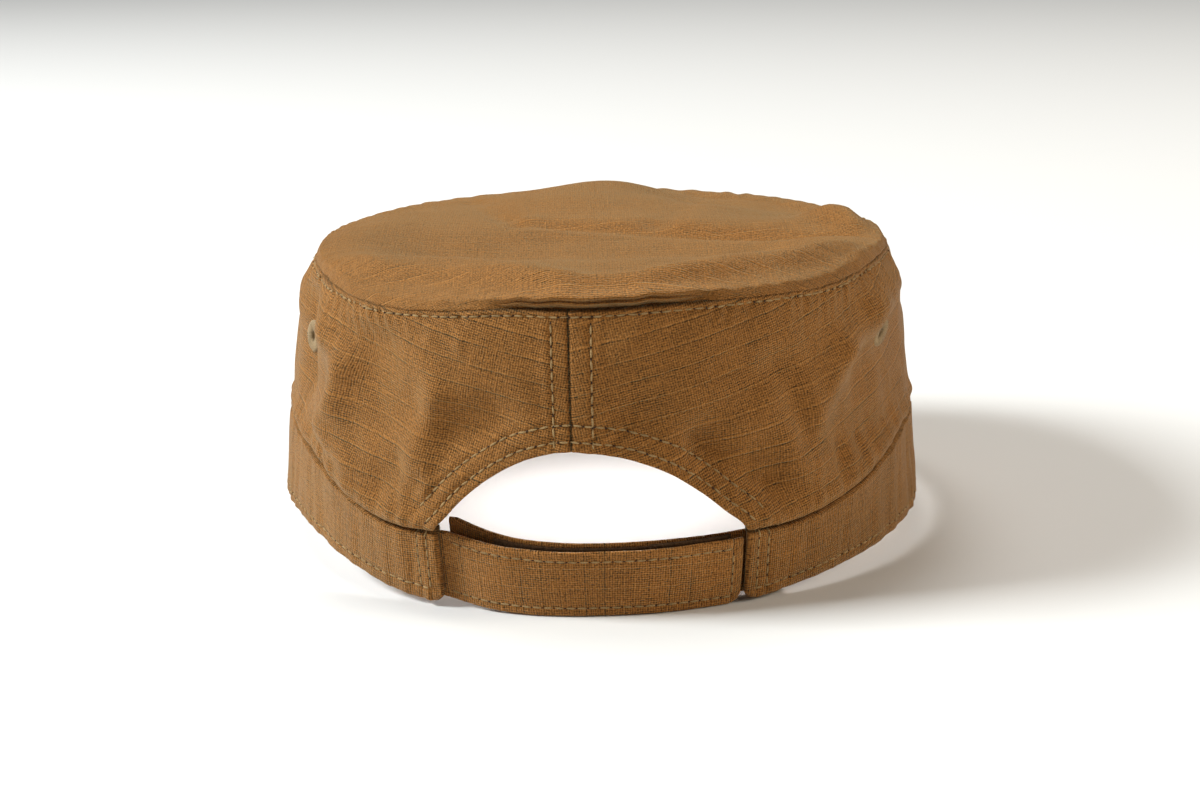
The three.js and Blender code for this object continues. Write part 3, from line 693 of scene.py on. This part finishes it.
def spread(low, high, step, fine, margin):
    """Values from low to high, close together at both ends."""
    a = np.arange(0, margin, fine)
    count = max(2, int(round((high - low - 2 * margin) / step)) + 1)
    middle = np.linspace(low + margin, high - margin, count)
    return np.concatenate([low + a, middle, (high - a)[::-1]])


def rungs(first, low, high, count, last):
    """Shares across a piece, close together at its two edges."""
    return np.concatenate([first, np.linspace(low, high, count), last])


def wall_piece(name, low, high, weave):
    """One cloth panel of the wall, between two angles."""
    us = np.unique(np.concatenate([
        mix(low, high, spread(0, 1, 0.0042, 0.0022, 0.011)),
        [a for a in np.arange(-27, 27, 0.30) if low < a < high]]))
    vs = rungs([0, 0.005, 0.011, 0.018, 0.026, 0.036], 0.05, 0.93, 80,
               [0.941, 0.951, 0.959, 0.966, 0.973, 0.980, 0.986, 0.991, 0.996, 1.0])

    def foot(u):
        return np.maximum(seam_height(u) - 0.15, arch_height(u))

    def ends(u, height):
        run = round_length(u)
        hem = np.where(height - foot(u) < 12, arch_distance(u, height), 99)
        return least(np.abs(run - round_length(low)), np.abs(round_length(high) - run), hem)

    # the last function gives the distance to the top seam's crease, for the shade painted along the
    # wall's top edge
    return ring_piece(name, us, vs, foot, lambda u: top_height(u) + 0.3, ends, wall_surface,
                      mm("cloth"), lambda u, height: weave(round_length(u), height),
                      lambda u, height: top_height(u) + 0.05 - height)


def pierce(piece, side):
    """Opens the cloth under an eyelet and joins its two faces round the hole."""
    centre, out, _ = eyelet_place(side)
    bm = bmesh.new()
    bm.from_mesh(piece.data)
    hit = []
    for f in bm.faces:
        d = f.calc_center_median() - centre
        if abs(d.dot(out)) < 0.004 and (d - out * d.dot(out)).length < 0.0023:
            hit.append(f)
    bmesh.ops.delete(bm, geom=hit, context="FACES")
    rim = [e for e in bm.edges if e.is_boundary]
    bmesh.ops.bridge_loops(bm, edges=rim)
    bm.to_mesh(piece.data)
    bm.free()
    piece.data.polygons.foreach_set("use_smooth", [True] * len(piece.data.polygons))


def eyelet_place(side):
    """Centre, outward direction and level direction of an eyelet, in metres."""
    angle, share = EYELETS[side]
    height = share * mm("crown_height")
    points = wall_surface(np.array([angle, angle - 1.6, angle + 1.6, angle, angle]),
                          np.array([height, height, height, height - 3, height + 3]))
    points = (points - ORIGIN) / 1000
    level = Vector(points[2] - points[1]).normalized()
    up = Vector(points[4] - points[3]).normalized()
    out = level.cross(up)
    if out.dot(Vector((points[0][0], points[0][1], 0))) < 0:
        out.negate()
    out = (out + Vector((0, EYELET_TURN[side], 0))).normalized()
    level = (level - out * level.dot(out)).normalized()
    return Vector(points[0]), out, level


# Stitches
def along(points, step):
    """Even places on a line of points, with its direction there."""
    run = np.concatenate([[0], np.cumsum(np.linalg.norm(np.diff(points, axis=0), axis=1))])
    marks = np.arange(step / 2, run[-1], step)
    places, ahead, behind = (np.stack([np.interp(marks + shift, run, points[:, k])
                                       for k in range(3)], 1) for shift in (0, 0.6, -0.6))
    way = ahead - behind
    return places, way / np.linalg.norm(way, axis=1)[:, None]


def bead(bm, spot, way, out, sizes):
    """Adds one small round body, laid along a direction, its sizes in metres."""
    side = out.cross(way).normalized()
    out = way.cross(side).normalized()
    turn = Matrix((way, side, out)).transposed().to_4x4()
    bmesh.ops.create_uvsphere(bm, u_segments=6, v_segments=5, radius=0.5,
                              matrix=Matrix.Translation(spot) @ turn
                              @ Matrix.Diagonal((*sizes, 1)) @ Matrix.Rotation(np.pi / 2, 4, "Y"))


def stitch_rows(name, rows):
    """Rows of stitches with beads of painted shade between them, for the needle holes; each row is
    points in mm and their outward directions."""
    threads, holes = bmesh.new(), bmesh.new()
    dice = np.random.default_rng(len(name))
    sizes = bpy.context.scene.cap_sizes
    for points, outside in rows:
        places, ways = along(points, mm("stitch_step"))
        for place, way in zip(places, ways):
            out = Vector(outside[np.argmin(np.linalg.norm(points - place, axis=1))])
            way = Vector(way)
            spot = Vector((place - ORIGIN) / 1000)
            skew = way + out.cross(way) * dice.uniform(-0.10, 0.10)
            long = sizes.stitch * dice.uniform(0.90, 1.04)
            bead(threads, spot + out * 0.00008, skew.normalized(), out,
                 (long, sizes.thread, sizes.thread * 0.9))
            # a deep brown bead where the thread dives in: painted shade of the needle hole
            bead(holes, spot + way * sizes.stitch_step / 2 + out * 0.00002, way, out,
                 (0.00060, 0.00048, 0.00024))
    dress(finished(name + "_thread", threads), finish_of("row_thread"), "thread")
    dress(finished(name + "_hole_shade", holes), finish_of("needle_hole_shade"), "thread")


def wall_row(angles, heights, surface):
    """A row of stitches on the wall, the band or a strap."""
    points = surface(angles, heights)
    outside = points - surface(angles, heights, 1.0)
    return points, outside / np.linalg.norm(outside, axis=1)[:, None]


def upright_row(angle, low, high, count, surface):
    """The same, straight up at one angle."""
    return wall_row(np.full(count, angle), np.linspace(low, high, count), surface)


# Materials
def settle(node, **values):
    """Sets a node's sockets; an underscore stands for a space in a socket's name."""
    for name, value in values.items():
        node.inputs[name.replace("_", " ")].default_value = value


class Nodes:
    """Short names for building a node tree."""

    def __init__(self, name):
        self.material = bpy.data.materials.new(name)
        self.material.use_nodes = True
        self.tree = self.material.node_tree
        self.tree.nodes.clear()
        self.shader = self.new("BsdfPrincipled")
        self.join(self.shader.outputs[0], self.new("OutputMaterial").inputs["Surface"])

    def join(self, a, b):
        """Links two sockets."""
        self.tree.links.new(a, b)

    def new(self, kind, **values):
        """A node with its attributes set."""
        node = self.tree.nodes.new("ShaderNode" + kind)
        for key, value in values.items():
            setattr(node, key, value)
        return node

    def math(self, operation, a, b=0.0):
        """One sum of two values, each a number or a socket."""
        node = self.new("Math", operation=operation)
        for socket, value in zip(node.inputs, (a, b)):
            if hasattr(value, "links"):
                self.join(value, socket)
            else:
                socket.default_value = value
        return node.outputs[0]

    def plus(self, a, b):
        """Two values added."""
        return self.math("ADD", a, b)

    def times(self, a, b):
        """Two values multiplied."""
        return self.math("MULTIPLY", a, b)

    def noise(self, where, scale, detail=3.0, rough=0.5, stretch=(1, 1, 1)):
        """Noise between 0 and 1."""
        place = self.new("Mapping")
        settle(place, Scale=stretch)
        self.join(where, place.inputs["Vector"])
        node = self.new("TexNoise")
        settle(node, Scale=scale, Detail=detail, Roughness=rough)
        self.join(place.outputs[0], node.inputs["Vector"])
        return node.outputs["Fac"]

    def ramp(self, value, low, high, out_low=0.0, out_high=1.0):
        """Stretches a range to another."""
        node = self.new("MapRange")
        settle(node, From_Min=low, From_Max=high, To_Min=out_low, To_Max=out_high)
        self.join(value, node.inputs["Value"])
        return node.outputs[0]

    def sway(self, noise, reach):
        """The middle of a noise, stretched to a reach on both sides of nothing."""
        return self.ramp(noise, 0.3, 0.7, -reach, reach)

    def relief(self, *layers):
        """Gives the shader its relief from layers of a height and a distance."""
        below = None
        for height, distance in layers:
            node = self.new("Bump")
            settle(node, Distance=distance, Strength=1.0)
            self.join(height, node.inputs["Height"])
            if below is not None:
                self.join(below, node.inputs["Normal"])
            below = node.outputs[0]
        self.join(below, self.shader.inputs["Normal"])


def lines(nodes, coordinate, spacing, width, shift=0.0):
    """Narrow soft lines at an even spacing across one coordinate."""
    share = nodes.math("FRACT", nodes.math("DIVIDE", nodes.plus(coordinate, shift), spacing))
    off = nodes.math("ABSOLUTE", nodes.math("SUBTRACT", share, 0.5))
    return nodes.ramp(off, width / spacing, 0.0)


def tinted(nodes, shade, tint, warmth=(1.0, 1.0, 1.0)):
    """Feeds the base colour with a tint times a shade, darker shades a little redder."""
    grey = nodes.new("CombineColor")
    for socket, power in zip(grey.inputs, warmth):
        nodes.join(nodes.math("POWER", shade, power), socket)
    mixer = nodes.new("Mix", data_type="RGBA", blend_type="MULTIPLY")
    settle(mixer, Factor=1.0, A=(*tint, 1))
    nodes.join(grey.outputs[0], mixer.inputs["B"])
    nodes.join(mixer.outputs["Result"], nodes.shader.inputs["Base Color"])


def ripstop(name, tint, spacing, along, across, seam=False):
    """Ripstop cloth: fine ribs and uneven threads, thicker threads in a grid and soft mottling.
    The grid's threads carry a painted highlight with a painted shadow line beside each. along and
    across are how much the grid's two directions show. Cloth with a seam gets painted shade along
    it, the shadow in the seam's crease, where the piece's map Seam nears zero."""
    nodes = Nodes(name)
    where = nodes.new("UVMap", uv_map="Cloth").outputs[0]
    split = nodes.new("SeparateXYZ")
    nodes.join(where, split.inputs[0])
    wander = nodes.times(nodes.noise(where, 30.0, 1.0), 0.0010)
    u, v = (nodes.plus(split.outputs[k], wander) for k in (0, 1))
    jitter = nodes.times(nodes.noise(where, 520.0, 1.0), 0.0005)

    def threads(coordinate, step, strength):
        turn = nodes.times(nodes.plus(coordinate, jitter), 2 * np.pi / step)
        return nodes.times(nodes.math("SINE", turn), strength)

    ribs_here = nodes.ramp(nodes.noise(where, 70.0, 1.0), 0.35, 0.65, 0.35, 1.0)
    weave = nodes.times(nodes.times(threads(v, RIB, 0.5), ribs_here), 0.80)
    weave = nodes.plus(weave, threads(u, WARP, min(0.34, 0.9 * across)))
    # speckle, then slubs along the ribs and upright
    for rough, stretch, reach in ((0.7, (1500, 2300, 1), 0.62), (0.6, (95, 1700, 1), 0.20),
                                  (0.6, (1700, 120, 1), 0.10)):
        weave = nodes.plus(weave, nodes.sway(nodes.noise(where, 1.0, 2.0, rough, stretch), reach))
    broken = nodes.ramp(nodes.noise(where, 300.0, 2.0), 0.3, 0.6, 0.45, 1.0)
    # painted highlight along each thicker grid thread, and a painted shadow line just beside it
    light = nodes.plus(nodes.times(lines(nodes, v, spacing, 0.00036), along),
                       nodes.times(lines(nodes, u, spacing, 0.00022), 0.3 * across))
    dark = nodes.plus(nodes.times(lines(nodes, v, spacing, 0.0003, 0.00046), along),
                      nodes.times(lines(nodes, u, spacing, 0.0003, 0.0004), across))
    grid = nodes.math("SUBTRACT", nodes.times(light, 0.62), nodes.times(dark, 0.30))
    grid = nodes.times(grid, broken)
    shade = nodes.plus(nodes.sway(nodes.noise(where, 34.0, 4.0, 0.6), 0.07),
                       nodes.sway(nodes.noise(where, 9.0, 2.0, 0.5), 0.04))
    shade = nodes.plus(nodes.plus(shade, 1.0), nodes.plus(weave, grid))
    # painted shade: the cloth is made deeper toward the seam's crease, where its shadow falls
    if seam:
        away = nodes.new("SeparateXYZ")
        nodes.join(nodes.new("UVMap", uv_map="Seam").outputs[0], away.inputs[0])
        shade = nodes.times(shade, nodes.ramp(away.outputs[0], 0.0, 0.0006, 0.3, 1.0))
    tinted(nodes, nodes.math("MAXIMUM", shade, 0.1), tint, (0.94, 1.06, 1.20))
    settle(nodes.shader, Roughness=0.6, Specular_IOR_Level=0.26, Specular_Tint=(0.9, 1.0, 0.5, 1),
           Sheen_Weight=0.17, Sheen_Roughness=0.4, Sheen_Tint=(0.9, 1.0, 0.62, 1))
    soft = nodes.noise(where, 130.0, 3.0, 0.55)
    nodes.relief((soft, 0.00050), (weave, 0.00016), (grid, 0.00030))
    return nodes.material


def thread_material(name, tint):
    """Sewing thread: a fine twist and a little sheen."""
    nodes = Nodes(name)
    where = nodes.new("TexCoord").outputs["Object"]
    strand = nodes.noise(where, 2600.0, 2.0)
    cloudy = nodes.noise(where, 90.0, 2.0)
    tinted(nodes, nodes.times(nodes.ramp(strand, 0.3, 0.7, 0.72, 1.15),
                              nodes.ramp(cloudy, 0.3, 0.7, 0.85, 1.1)), tint)
    settle(nodes.shader, Roughness=0.78, Specular_IOR_Level=0.2, Sheen_Weight=0.08)
    nodes.relief((strand, 0.0001))
    return nodes.material


def pile_material(name, tint):
    """Hook and loop tape: a dense rough pile."""
    nodes = Nodes(name)
    pile = nodes.noise(nodes.new("TexCoord").outputs["Object"], 1500.0, 3.0, 0.7)
    tinted(nodes, nodes.ramp(pile, 0.3, 0.7, 0.5, 1.35), tint)
    settle(nodes.shader, Roughness=0.95, Specular_IOR_Level=0.15)
    nodes.relief((pile, 0.0005))
    return nodes.material


def finish_of(kind):
    """One of the cap's finishes, made once."""
    if kind in bpy.data.materials:
        return bpy.data.materials[kind]
    tints = bpy.context.scene.cap_colours
    grid = bpy.context.scene.cap_sizes.grid
    makers = {
        # crown and band cloth get painted shade along their seams
        "crown_ripstop": lambda: ripstop(kind, tints.cloth, grid, 1.0, 0.30, True),
        "top_ripstop": lambda: ripstop(kind, tints.cloth, grid, 0.7, 0.12),
        "band_ripstop": lambda: ripstop(kind, tints.cloth, grid, 0.3, 0.8, True),
        # lighter strap brown: painted light
        "strap_ripstop": lambda: ripstop(kind, tints.strap, grid, 0.5, 1.2),
        "row_thread": lambda: thread_material(kind, tints.thread),
        # painted shade of the needle holes
        "needle_hole_shade": lambda: thread_material(kind, tints.hole),
        "eyelet_thread": lambda: thread_material(kind, tints.eyelet),
        "tape_pile": lambda: pile_material(kind, tints.tape),
    }
    return makers[kind]()


# Operators
def facing(place, aim):
    """Place and turn of a camera or a lamp that looks at a point."""
    look = (Vector(aim) - Vector(place)).to_track_quat("-Z", "Y")
    return Matrix.Translation(place) @ look.to_matrix().to_4x4()


class CAP_OT_stage(bpy.types.Operator):
    """Sets the camera, the pale floor and the soft lights"""
    bl_idname = "cap.stage"
    bl_label = "Stage"

    def execute(self, context):
        scene = context.scene
        data = bpy.data.cameras.new("camera")
        data.sensor_width = 36
        data.lens = 68.79
        data.clip_start = 0.05
        camera = bpy.data.objects.new("camera", data)
        lean = Matrix.Rotation(np.radians(-1.441), 4, "Z")
        camera.matrix_world = facing((-0.015214, 0.640584, 0.180594),
                                     (0.000872, 0.0, 0.021735)) @ lean
        scene.collection.objects.link(camera)
        scene.camera = camera
        scene.view_settings.view_transform = "Standard"

        bm = bmesh.new()
        bmesh.ops.create_grid(bm, x_segments=1, y_segments=1, size=4.0)
        floor = finished("floor", bm, smooth=False)
        nodes = Nodes("floor_paper")
        settle(nodes.shader, Base_Color=(*scene.cap_colours.floor, 1), Roughness=0.9)
        nodes.relief((nodes.noise(nodes.new("TexCoord").outputs["Object"], 500.0, 2.0), 0.00003))
        floor.data.materials.append(nodes.material)

        world = bpy.data.worlds.new("studio")
        world.use_nodes = True
        settle(world.node_tree.nodes["Background"], Color=(1.0, 0.99, 0.97, 1), Strength=0.10)
        scene.world = world
        # name, place, aimed at, size, power, colour
        lights = [
            ("key", (2.12, 0.22, 1.62), (0.0, 0.05, 0.04), 0.9, 106.0, (0.96, 1.0, 1.0)),
            ("right", (-2.10, 0.25, 1.05), (0.0, 0.05, 0.03), 0.9, 30.0, (1.0, 0.88, 0.70)),
            ("overhead", (0.45, -0.75, 2.50), (0.0, 0.03, 0.05), 1.2, 30.0, (1.0, 0.98, 0.94)),
            ("low_fill", (-0.25, 2.10, 0.40), (0.0, 0.08, 0.02), 0.6, 4.2, (1.0, 0.88, 0.72)),
            ("inside", (0.0, 0.03, 0.062), (0.0, 0.03, 0.0), 0.05, 0.09, (1.0, 0.98, 0.96)),
        ]
        for name, place, aim, size, power, tint in lights:
            lamp = bpy.data.lights.new(name, "AREA")
            lamp.shape = "SQUARE"
            lamp.size = size
            lamp.energy = power
            lamp.color = tint
            light = bpy.data.objects.new(name, lamp)
            light.matrix_world = facing(place, aim)
            scene.collection.objects.link(light)
        return {"FINISHED"}


class CAP_OT_crown_top(bpy.types.Operator):
    """Makes the soft top of the crown"""
    bl_idname = "cap.crown_top"
    bl_label = "Crown top"

    def execute(self, context):
        turns = np.linspace(-180, 180, 481)
        rings = rungs([0, 0.012, 0.03, 0.05], 0.075, 0.93, 58,
                      [0.939, 0.947, 0.954, 0.960, 0.965, 0.970, 0.974, 0.978, 0.981, 0.984,
                       0.987, 0.990, 0.9925, 0.995, 0.997, 0.9987, 1.0])

        def rim(angle):
            reach = through(SECTIONS, 6, angle)
            stand = 0.25 + 0.15 * waves(round_length(angle), 43, 7, 14)
            return oval(angle, mm("top_half_width") * reach + stand,
                        mm("top_half_length") * reach + stand, TOP_POWER)

        def sunk(inward, back):
            return (1.75 + 0.3 * back) * np.clip(1 - inward / LIP_INSET, 0, 1) ** 1.3

        def place(u, v, depth):
            rx, ry = rim(u)
            inward = (1 - v) * TOP_RUN
            back = np.exp(-((signed(u) - LIP_MIDDLE) / LIP_SPAN) ** 4)
            out = 0.35 * bell(inward - LIP_INSET - 1.0, 1.1)
            out = out + back * 2.9 * bell(inward - 2.7, 1.7) - back * 2.3 * bell(inward - 0.2, 0.9)
            out = out - 0.9 * np.clip(depth, 0, 9) * fade(inward, 1.2)
            share = v + out / np.hypot(rx, ry)
            z = top_surface(rx * v, ry * v) + 0.5 * back * bell(inward - 3.0, 2.0)
            z = z - sunk(inward, back) - depth * (1 - 0.55 * fade(inward, 1.2))
            return np.stack([rx * share, ry * share, z], -1)

        def weave(u, v):
            rx, ry = rim(u)
            share = v + 1.2 * sunk((1 - v) * TOP_RUN, 0) / np.hypot(rx, ry)
            x, y = rx * share, ry * share
            return x + 0.03 * y, y - 0.03 * x

        piece = cloth_piece("top_panel_cloth", turns, rings, place, mm("cloth"),
                            lambda u, v: (1 - v) * 2 * TOP_RUN, weave)
        dress(piece, finish_of("top_ripstop"), "crown_cloth", "top_panel")
        return {"FINISHED"}


class CAP_OT_crown_wall(bpy.types.Operator):
    """Makes the two side panels and the front panel of the crown"""
    bl_idname = "cap.crown_wall"
    bl_label = "Crown wall"

    def execute(self, context):
        cloth = finish_of("crown_ripstop")
        left = wall_piece("side_panel_left_cloth", BACK_SEAM, FRONT_SEAM,
                          lambda s, h: (s + WEAVE_LEAN * h, h - WEAVE_LEAN * s))
        right = wall_piece("side_panel_right_cloth", -FRONT_SEAM, BACK_SEAM,
                           lambda s, h: (s - WEAVE_LEAN * h, h + WEAVE_LEAN * s))
        front = wall_piece("front_panel_cloth", FRONT_SEAM, 360 - FRONT_SEAM,
                           lambda s, h: (s % whole_round(), h))
        pierce(left, "left")
        pierce(right, "right")
        dress(left, cloth, "crown_cloth", "side_panel_left")
        dress(right, cloth, "crown_cloth", "side_panel_right")
        dress(front, cloth, "crown_cloth", "front_panel")
        return {"FINISHED"}


class CAP_OT_band(bpy.types.Operator):
    """Makes the doubled band, open at the back"""
    bl_idname = "cap.band"
    bl_label = "Band"

    def execute(self, context):
        low, high = BAND_END_LEFT, 360 + BAND_END_RIGHT
        us = spread(low, high, 0.72, 0.2, 6.0)
        vs = rungs([0, 0.008, 0.02, 0.035, 0.055], 0.075, 0.93, 40,
                   [0.945, 0.958, 0.97, 0.98, 0.99, 1.0])

        def away(u):
            return np.minimum(u - low, high - u) * EDGE_ARC

        def foot(u):
            drop = 0.55 + 0.8 * bell(signed(u) - 31, 15)
            return np.maximum(0.05, rim_height(u) - drop) + corner(away(u))

        def weave(u, height):
            return round_length(u) % whole_round() + 0.05 * height, height - seam_height(u)

        # the last function gives the distance to the crease under the wall's puff, for the shade
        # painted along the band's top
        piece = ring_piece("band_cloth", us, vs, foot, lambda u: seam_height(u) + 0.9,
                           lambda u, height: away(u), band_surface, mm("band_cloth"), weave,
                           lambda u, height: seam_height(u) - height - 0.85)
        dress(piece, finish_of("band_ripstop"), "crown_cloth", "band")
        return {"FINISHED"}


class CAP_OT_straps(bpy.types.Operator):
    """Makes the two straps in the opening and the tapes between them"""
    bl_idname = "cap.straps"
    bl_label = "Straps"

    def execute(self, context):
        cloth, tape = mm("strap_cloth"), mm("tape_cloth")
        # thickness, degrees between two columns, finish and slot
        kinds = {"cloth": (cloth, 0.5, "strap_ripstop", "strap_cloth"),
                 "pile": (tape, 0.8, "tape_pile", "tape")}

        def strip(node, kind, low, high, foot, head, surface):
            thick, step, finish, slot = kinds[kind]
            us = spread(low, high, step, 0.2, 2.4)
            vs = rungs([0, 0.012, 0.03, 0.055, 0.085], 0.12, 0.88, 20,
                       [0.915, 0.945, 0.97, 0.988, 1.0])

            piece = ring_piece(f"{node}_{kind}", us, vs, foot, head,
                               lambda u, height: np.minimum(u - low, high - u) * BACK_ARC,
                               surface, thick,
                               lambda u, height: (round_length(u), height - foot(u)))
            dress(piece, finish_of(finish), slot, node)

        def layer(extra, seed):
            def surface(angle, height, depth=0.0):
                move = 0.10 * ripples(round_length(angle), height, seed, 8, 22)
                return wall_point(angle, height, move - strap_depth(angle) - extra - depth)
            return surface

        def inner_low(angle):
            return inner_rise(angle) + corner(np.abs(angle - INNER_END) * ARC)

        def inner_high(angle):
            return inner_rise(angle) + mm("strap_height")

        strip("strap_outer", "cloth", OUTER_END, 34, outer_low, outer_high, strap_surface)
        strip("hook_tape", "pile", -23, -9, lambda a: 2.5 + 0 * a, lambda a: outer_high(a) + 0.8,
              layer(cloth + LAYER_GAP, 51))
        strip("loop_tape", "pile", -21, 16, lambda a: inner_rise(a) + 1.5,
              lambda a: inner_high(a) - 0.8, layer(cloth + tape + 2 * LAYER_GAP, 53))
        strip("strap_inner", "cloth", -34, INNER_END, inner_low, inner_high,
              layer(cloth + 2 * tape + 3 * LAYER_GAP, 57))
        return {"FINISHED"}


class CAP_OT_visor(bpy.types.Operator):
    """Makes the stiffened visor"""
    bl_idname = "cap.visor"
    bl_label = "Visor"

    def execute(self, context):
        us = spread(-VISOR_SPAN, VISOR_SPAN, 0.75, 0.2, 2.0)
        vs = rungs([0, 0.01, 0.03], 0.05, 0.94, 50, [0.952, 0.964, 0.975, 0.985, 0.993, 1.0])

        def edge(u, v):
            return least(v * VISOR_RUN, (1 - v) * VISOR_RUN, (VISOR_SPAN - np.abs(u)) * EDGE_ARC)

        def place(u, v, depth):
            furrow = 0.25 * bell((1 - v) * VISOR_RUN - VISOR_ROW, FURROW)
            return visor_surface(u, v, depth + furrow * np.sign(mm("visor_cloth") / 2 - depth))

        piece = cloth_piece("visor_cloth", us, vs, place, mm("visor_cloth"), edge,
                            lambda u, v: place(u, v, 0 * u)[:, :2].T)
        dress(piece, finish_of("band_ripstop"), "crown_cloth", "visor")
        return {"FINISHED"}


class CAP_OT_eyelets(bpy.types.Operator):
    """Makes the two stitched eyelets"""
    bl_idname = "cap.eyelets"
    bl_label = "Eyelets"

    def execute(self, context):
        around, across, stitches = 240, 16, 34
        for side in ("left", "right"):
            centre, out, level = eyelet_place(side)
            up = out.cross(level)
            mesh, i, j = sheet_grid(around + 1, across + 1)
            turn, roll = 2 * np.pi * i / around, 2 * np.pi * j / across
            draws = np.random.default_rng(5).uniform(-1, 1, stitches)
            wobble = np.interp(turn, np.linspace(0, 2 * np.pi, stitches + 1),
                               np.concatenate([draws, draws[:1]]))
            ridge = np.abs(np.sin(turn * stitches / 2)) ** 0.7
            r = 2.72 + (1.35 + 0.10 * wobble) * np.cos(roll)
            proud = (0.62 + 0.22 * ridge) * np.sin(roll) - 0.62 * (np.sin(roll) < 0) * 1.2
            points = (np.array(centre)[None] + (np.outer(r * np.cos(turn), level)
                      + np.outer(r * np.sin(turn), up) + np.outer(proud, out)) / 1000)
            mesh.vertices.foreach_set("co", points.ravel())
            bm = bmesh.new()
            bm.from_mesh(mesh)
            bpy.data.meshes.remove(mesh)
            piece = closed(f"eyelet_{side}_thread", bm, 2e-6)
            dress(piece, finish_of("eyelet_thread"), "thread", f"eyelet_{side}")
        return {"FINISHED"}


class CAP_OT_stitching(bpy.types.Operator):
    """Sews the rows of stitches"""
    bl_idname = "cap.stitching"
    bl_label = "Stitching"

    def execute(self, context):
        turns = np.linspace(-180, 180, 1441)
        stitch_rows("crown_row", [wall_row(turns, top_height(turns) - CROWN_ROW, wall_surface)])

        edge = np.linspace(ARCH[0][0] + 0.6, ARCH[-1][0] - 0.6, 300)
        x, y = round_length(edge), arch_height(edge)
        tilt = np.gradient(y, x)
        steps = np.linspace(-60, 60, 1201)
        rows = []
        for inset in ARCH_ROWS:
            px = x - inset * tilt / np.hypot(1, tilt)
            py = y + inset / np.hypot(1, tilt)
            angles = np.interp(px, round_length(steps), steps)
            keep = py > seam_height(angles) + 1.0
            rows.append(wall_row(angles[keep], py[keep], wall_surface))
        stitch_rows("arch_rows", rows)

        rows = []
        steps = np.linspace(-20, 20, 801)
        for row in SEAM_ROWS:
            angle = np.interp(round_length(BACK_SEAM) + row, round_length(steps), steps)
            low, high = float(arch_height(angle)) + 1.0, float(top_height(angle)) - 2.2
            rows.append(upright_row(angle, low, high, 60, wall_surface))
        stitch_rows("back_rows", rows)

        low, high = BAND_END_LEFT, 360 + BAND_END_RIGHT
        turns = np.linspace(low + 2.1, high - 2.1, 1500)
        rows = [wall_row(turns, np.maximum(0, rim_height(turns)) + BAND_ROW, band_surface)]
        for away in BAND_END_ROWS:
            for angle in (low + away / BACK_ARC, high - away / BACK_ARC):
                rows.append(upright_row(angle, max(0, float(rim_height(angle))) + 2.6,
                                        float(seam_height(angle)) - 0.6, 40, band_surface))
        stitch_rows("band_rows", rows)

        turns = np.linspace(OUTER_END_ROW, 24, 200)
        stitch_rows("strap_rows", [
            wall_row(turns, outer_low(turns) + STRAP_LOW_ROW, strap_surface),
            wall_row(turns, outer_high(turns) - STRAP_HIGH_ROW, strap_surface),
            upright_row(OUTER_END_ROW, 3.0, float(outer_high(OUTER_END_ROW)) - 3.2, 40,
                        strap_surface)])

        turns = np.linspace(-VISOR_SPAN + 2, VISOR_SPAN - 2, 500)
        points = visor_surface(turns, np.full(500, 1 - VISOR_ROW / VISOR_RUN), 0.2)
        stitch_rows("visor_row", [(points, np.tile((0.0, 0.0, 1.0), (500, 1)))])
        return {"FINISHED"}


class CAP_PT_panel(bpy.types.Panel):
    """Sizes, colours and pieces of the cap"""
    bl_idname = "CAP_PT_panel"
    bl_label = "Patrol cap"
    bl_space_type = "VIEW_3D"
    bl_region_type = "UI"
    bl_category = "Cap"

    def draw(self, context):
        for group in (context.scene.cap_sizes, context.scene.cap_colours):
            for name in group.__annotations__:
                self.layout.prop(group, name)
        for operator in OPERATORS:
            self.layout.operator(operator.bl_idname)


OPERATORS = (CAP_OT_stage, CAP_OT_crown_top, CAP_OT_crown_wall, CAP_OT_band, CAP_OT_straps,
             CAP_OT_visor, CAP_OT_eyelets, CAP_OT_stitching)
CLASSES = (CapSizes, CapColours, *OPERATORS, CAP_PT_panel)


def register():
    for cls in CLASSES:
        bpy.utils.register_class(cls)
    bpy.types.Scene.cap_sizes = PointerProperty(type=CapSizes)
    bpy.types.Scene.cap_colours = PointerProperty(type=CapColours)


def unregister():
    del bpy.types.Scene.cap_colours
    del bpy.types.Scene.cap_sizes
    for cls in reversed(CLASSES):
        bpy.utils.unregister_class(cls)


def main():
    """Makes the whole cap."""
    register()
    bpy.ops.cap.stage()
    bpy.ops.cap.crown_top()
    bpy.ops.cap.crown_wall()
    bpy.ops.cap.band()
    bpy.ops.cap.straps()
    bpy.ops.cap.visor()
    bpy.ops.cap.eyelets()
    bpy.ops.cap.stitching()


if __name__ == "__main__":
    main()
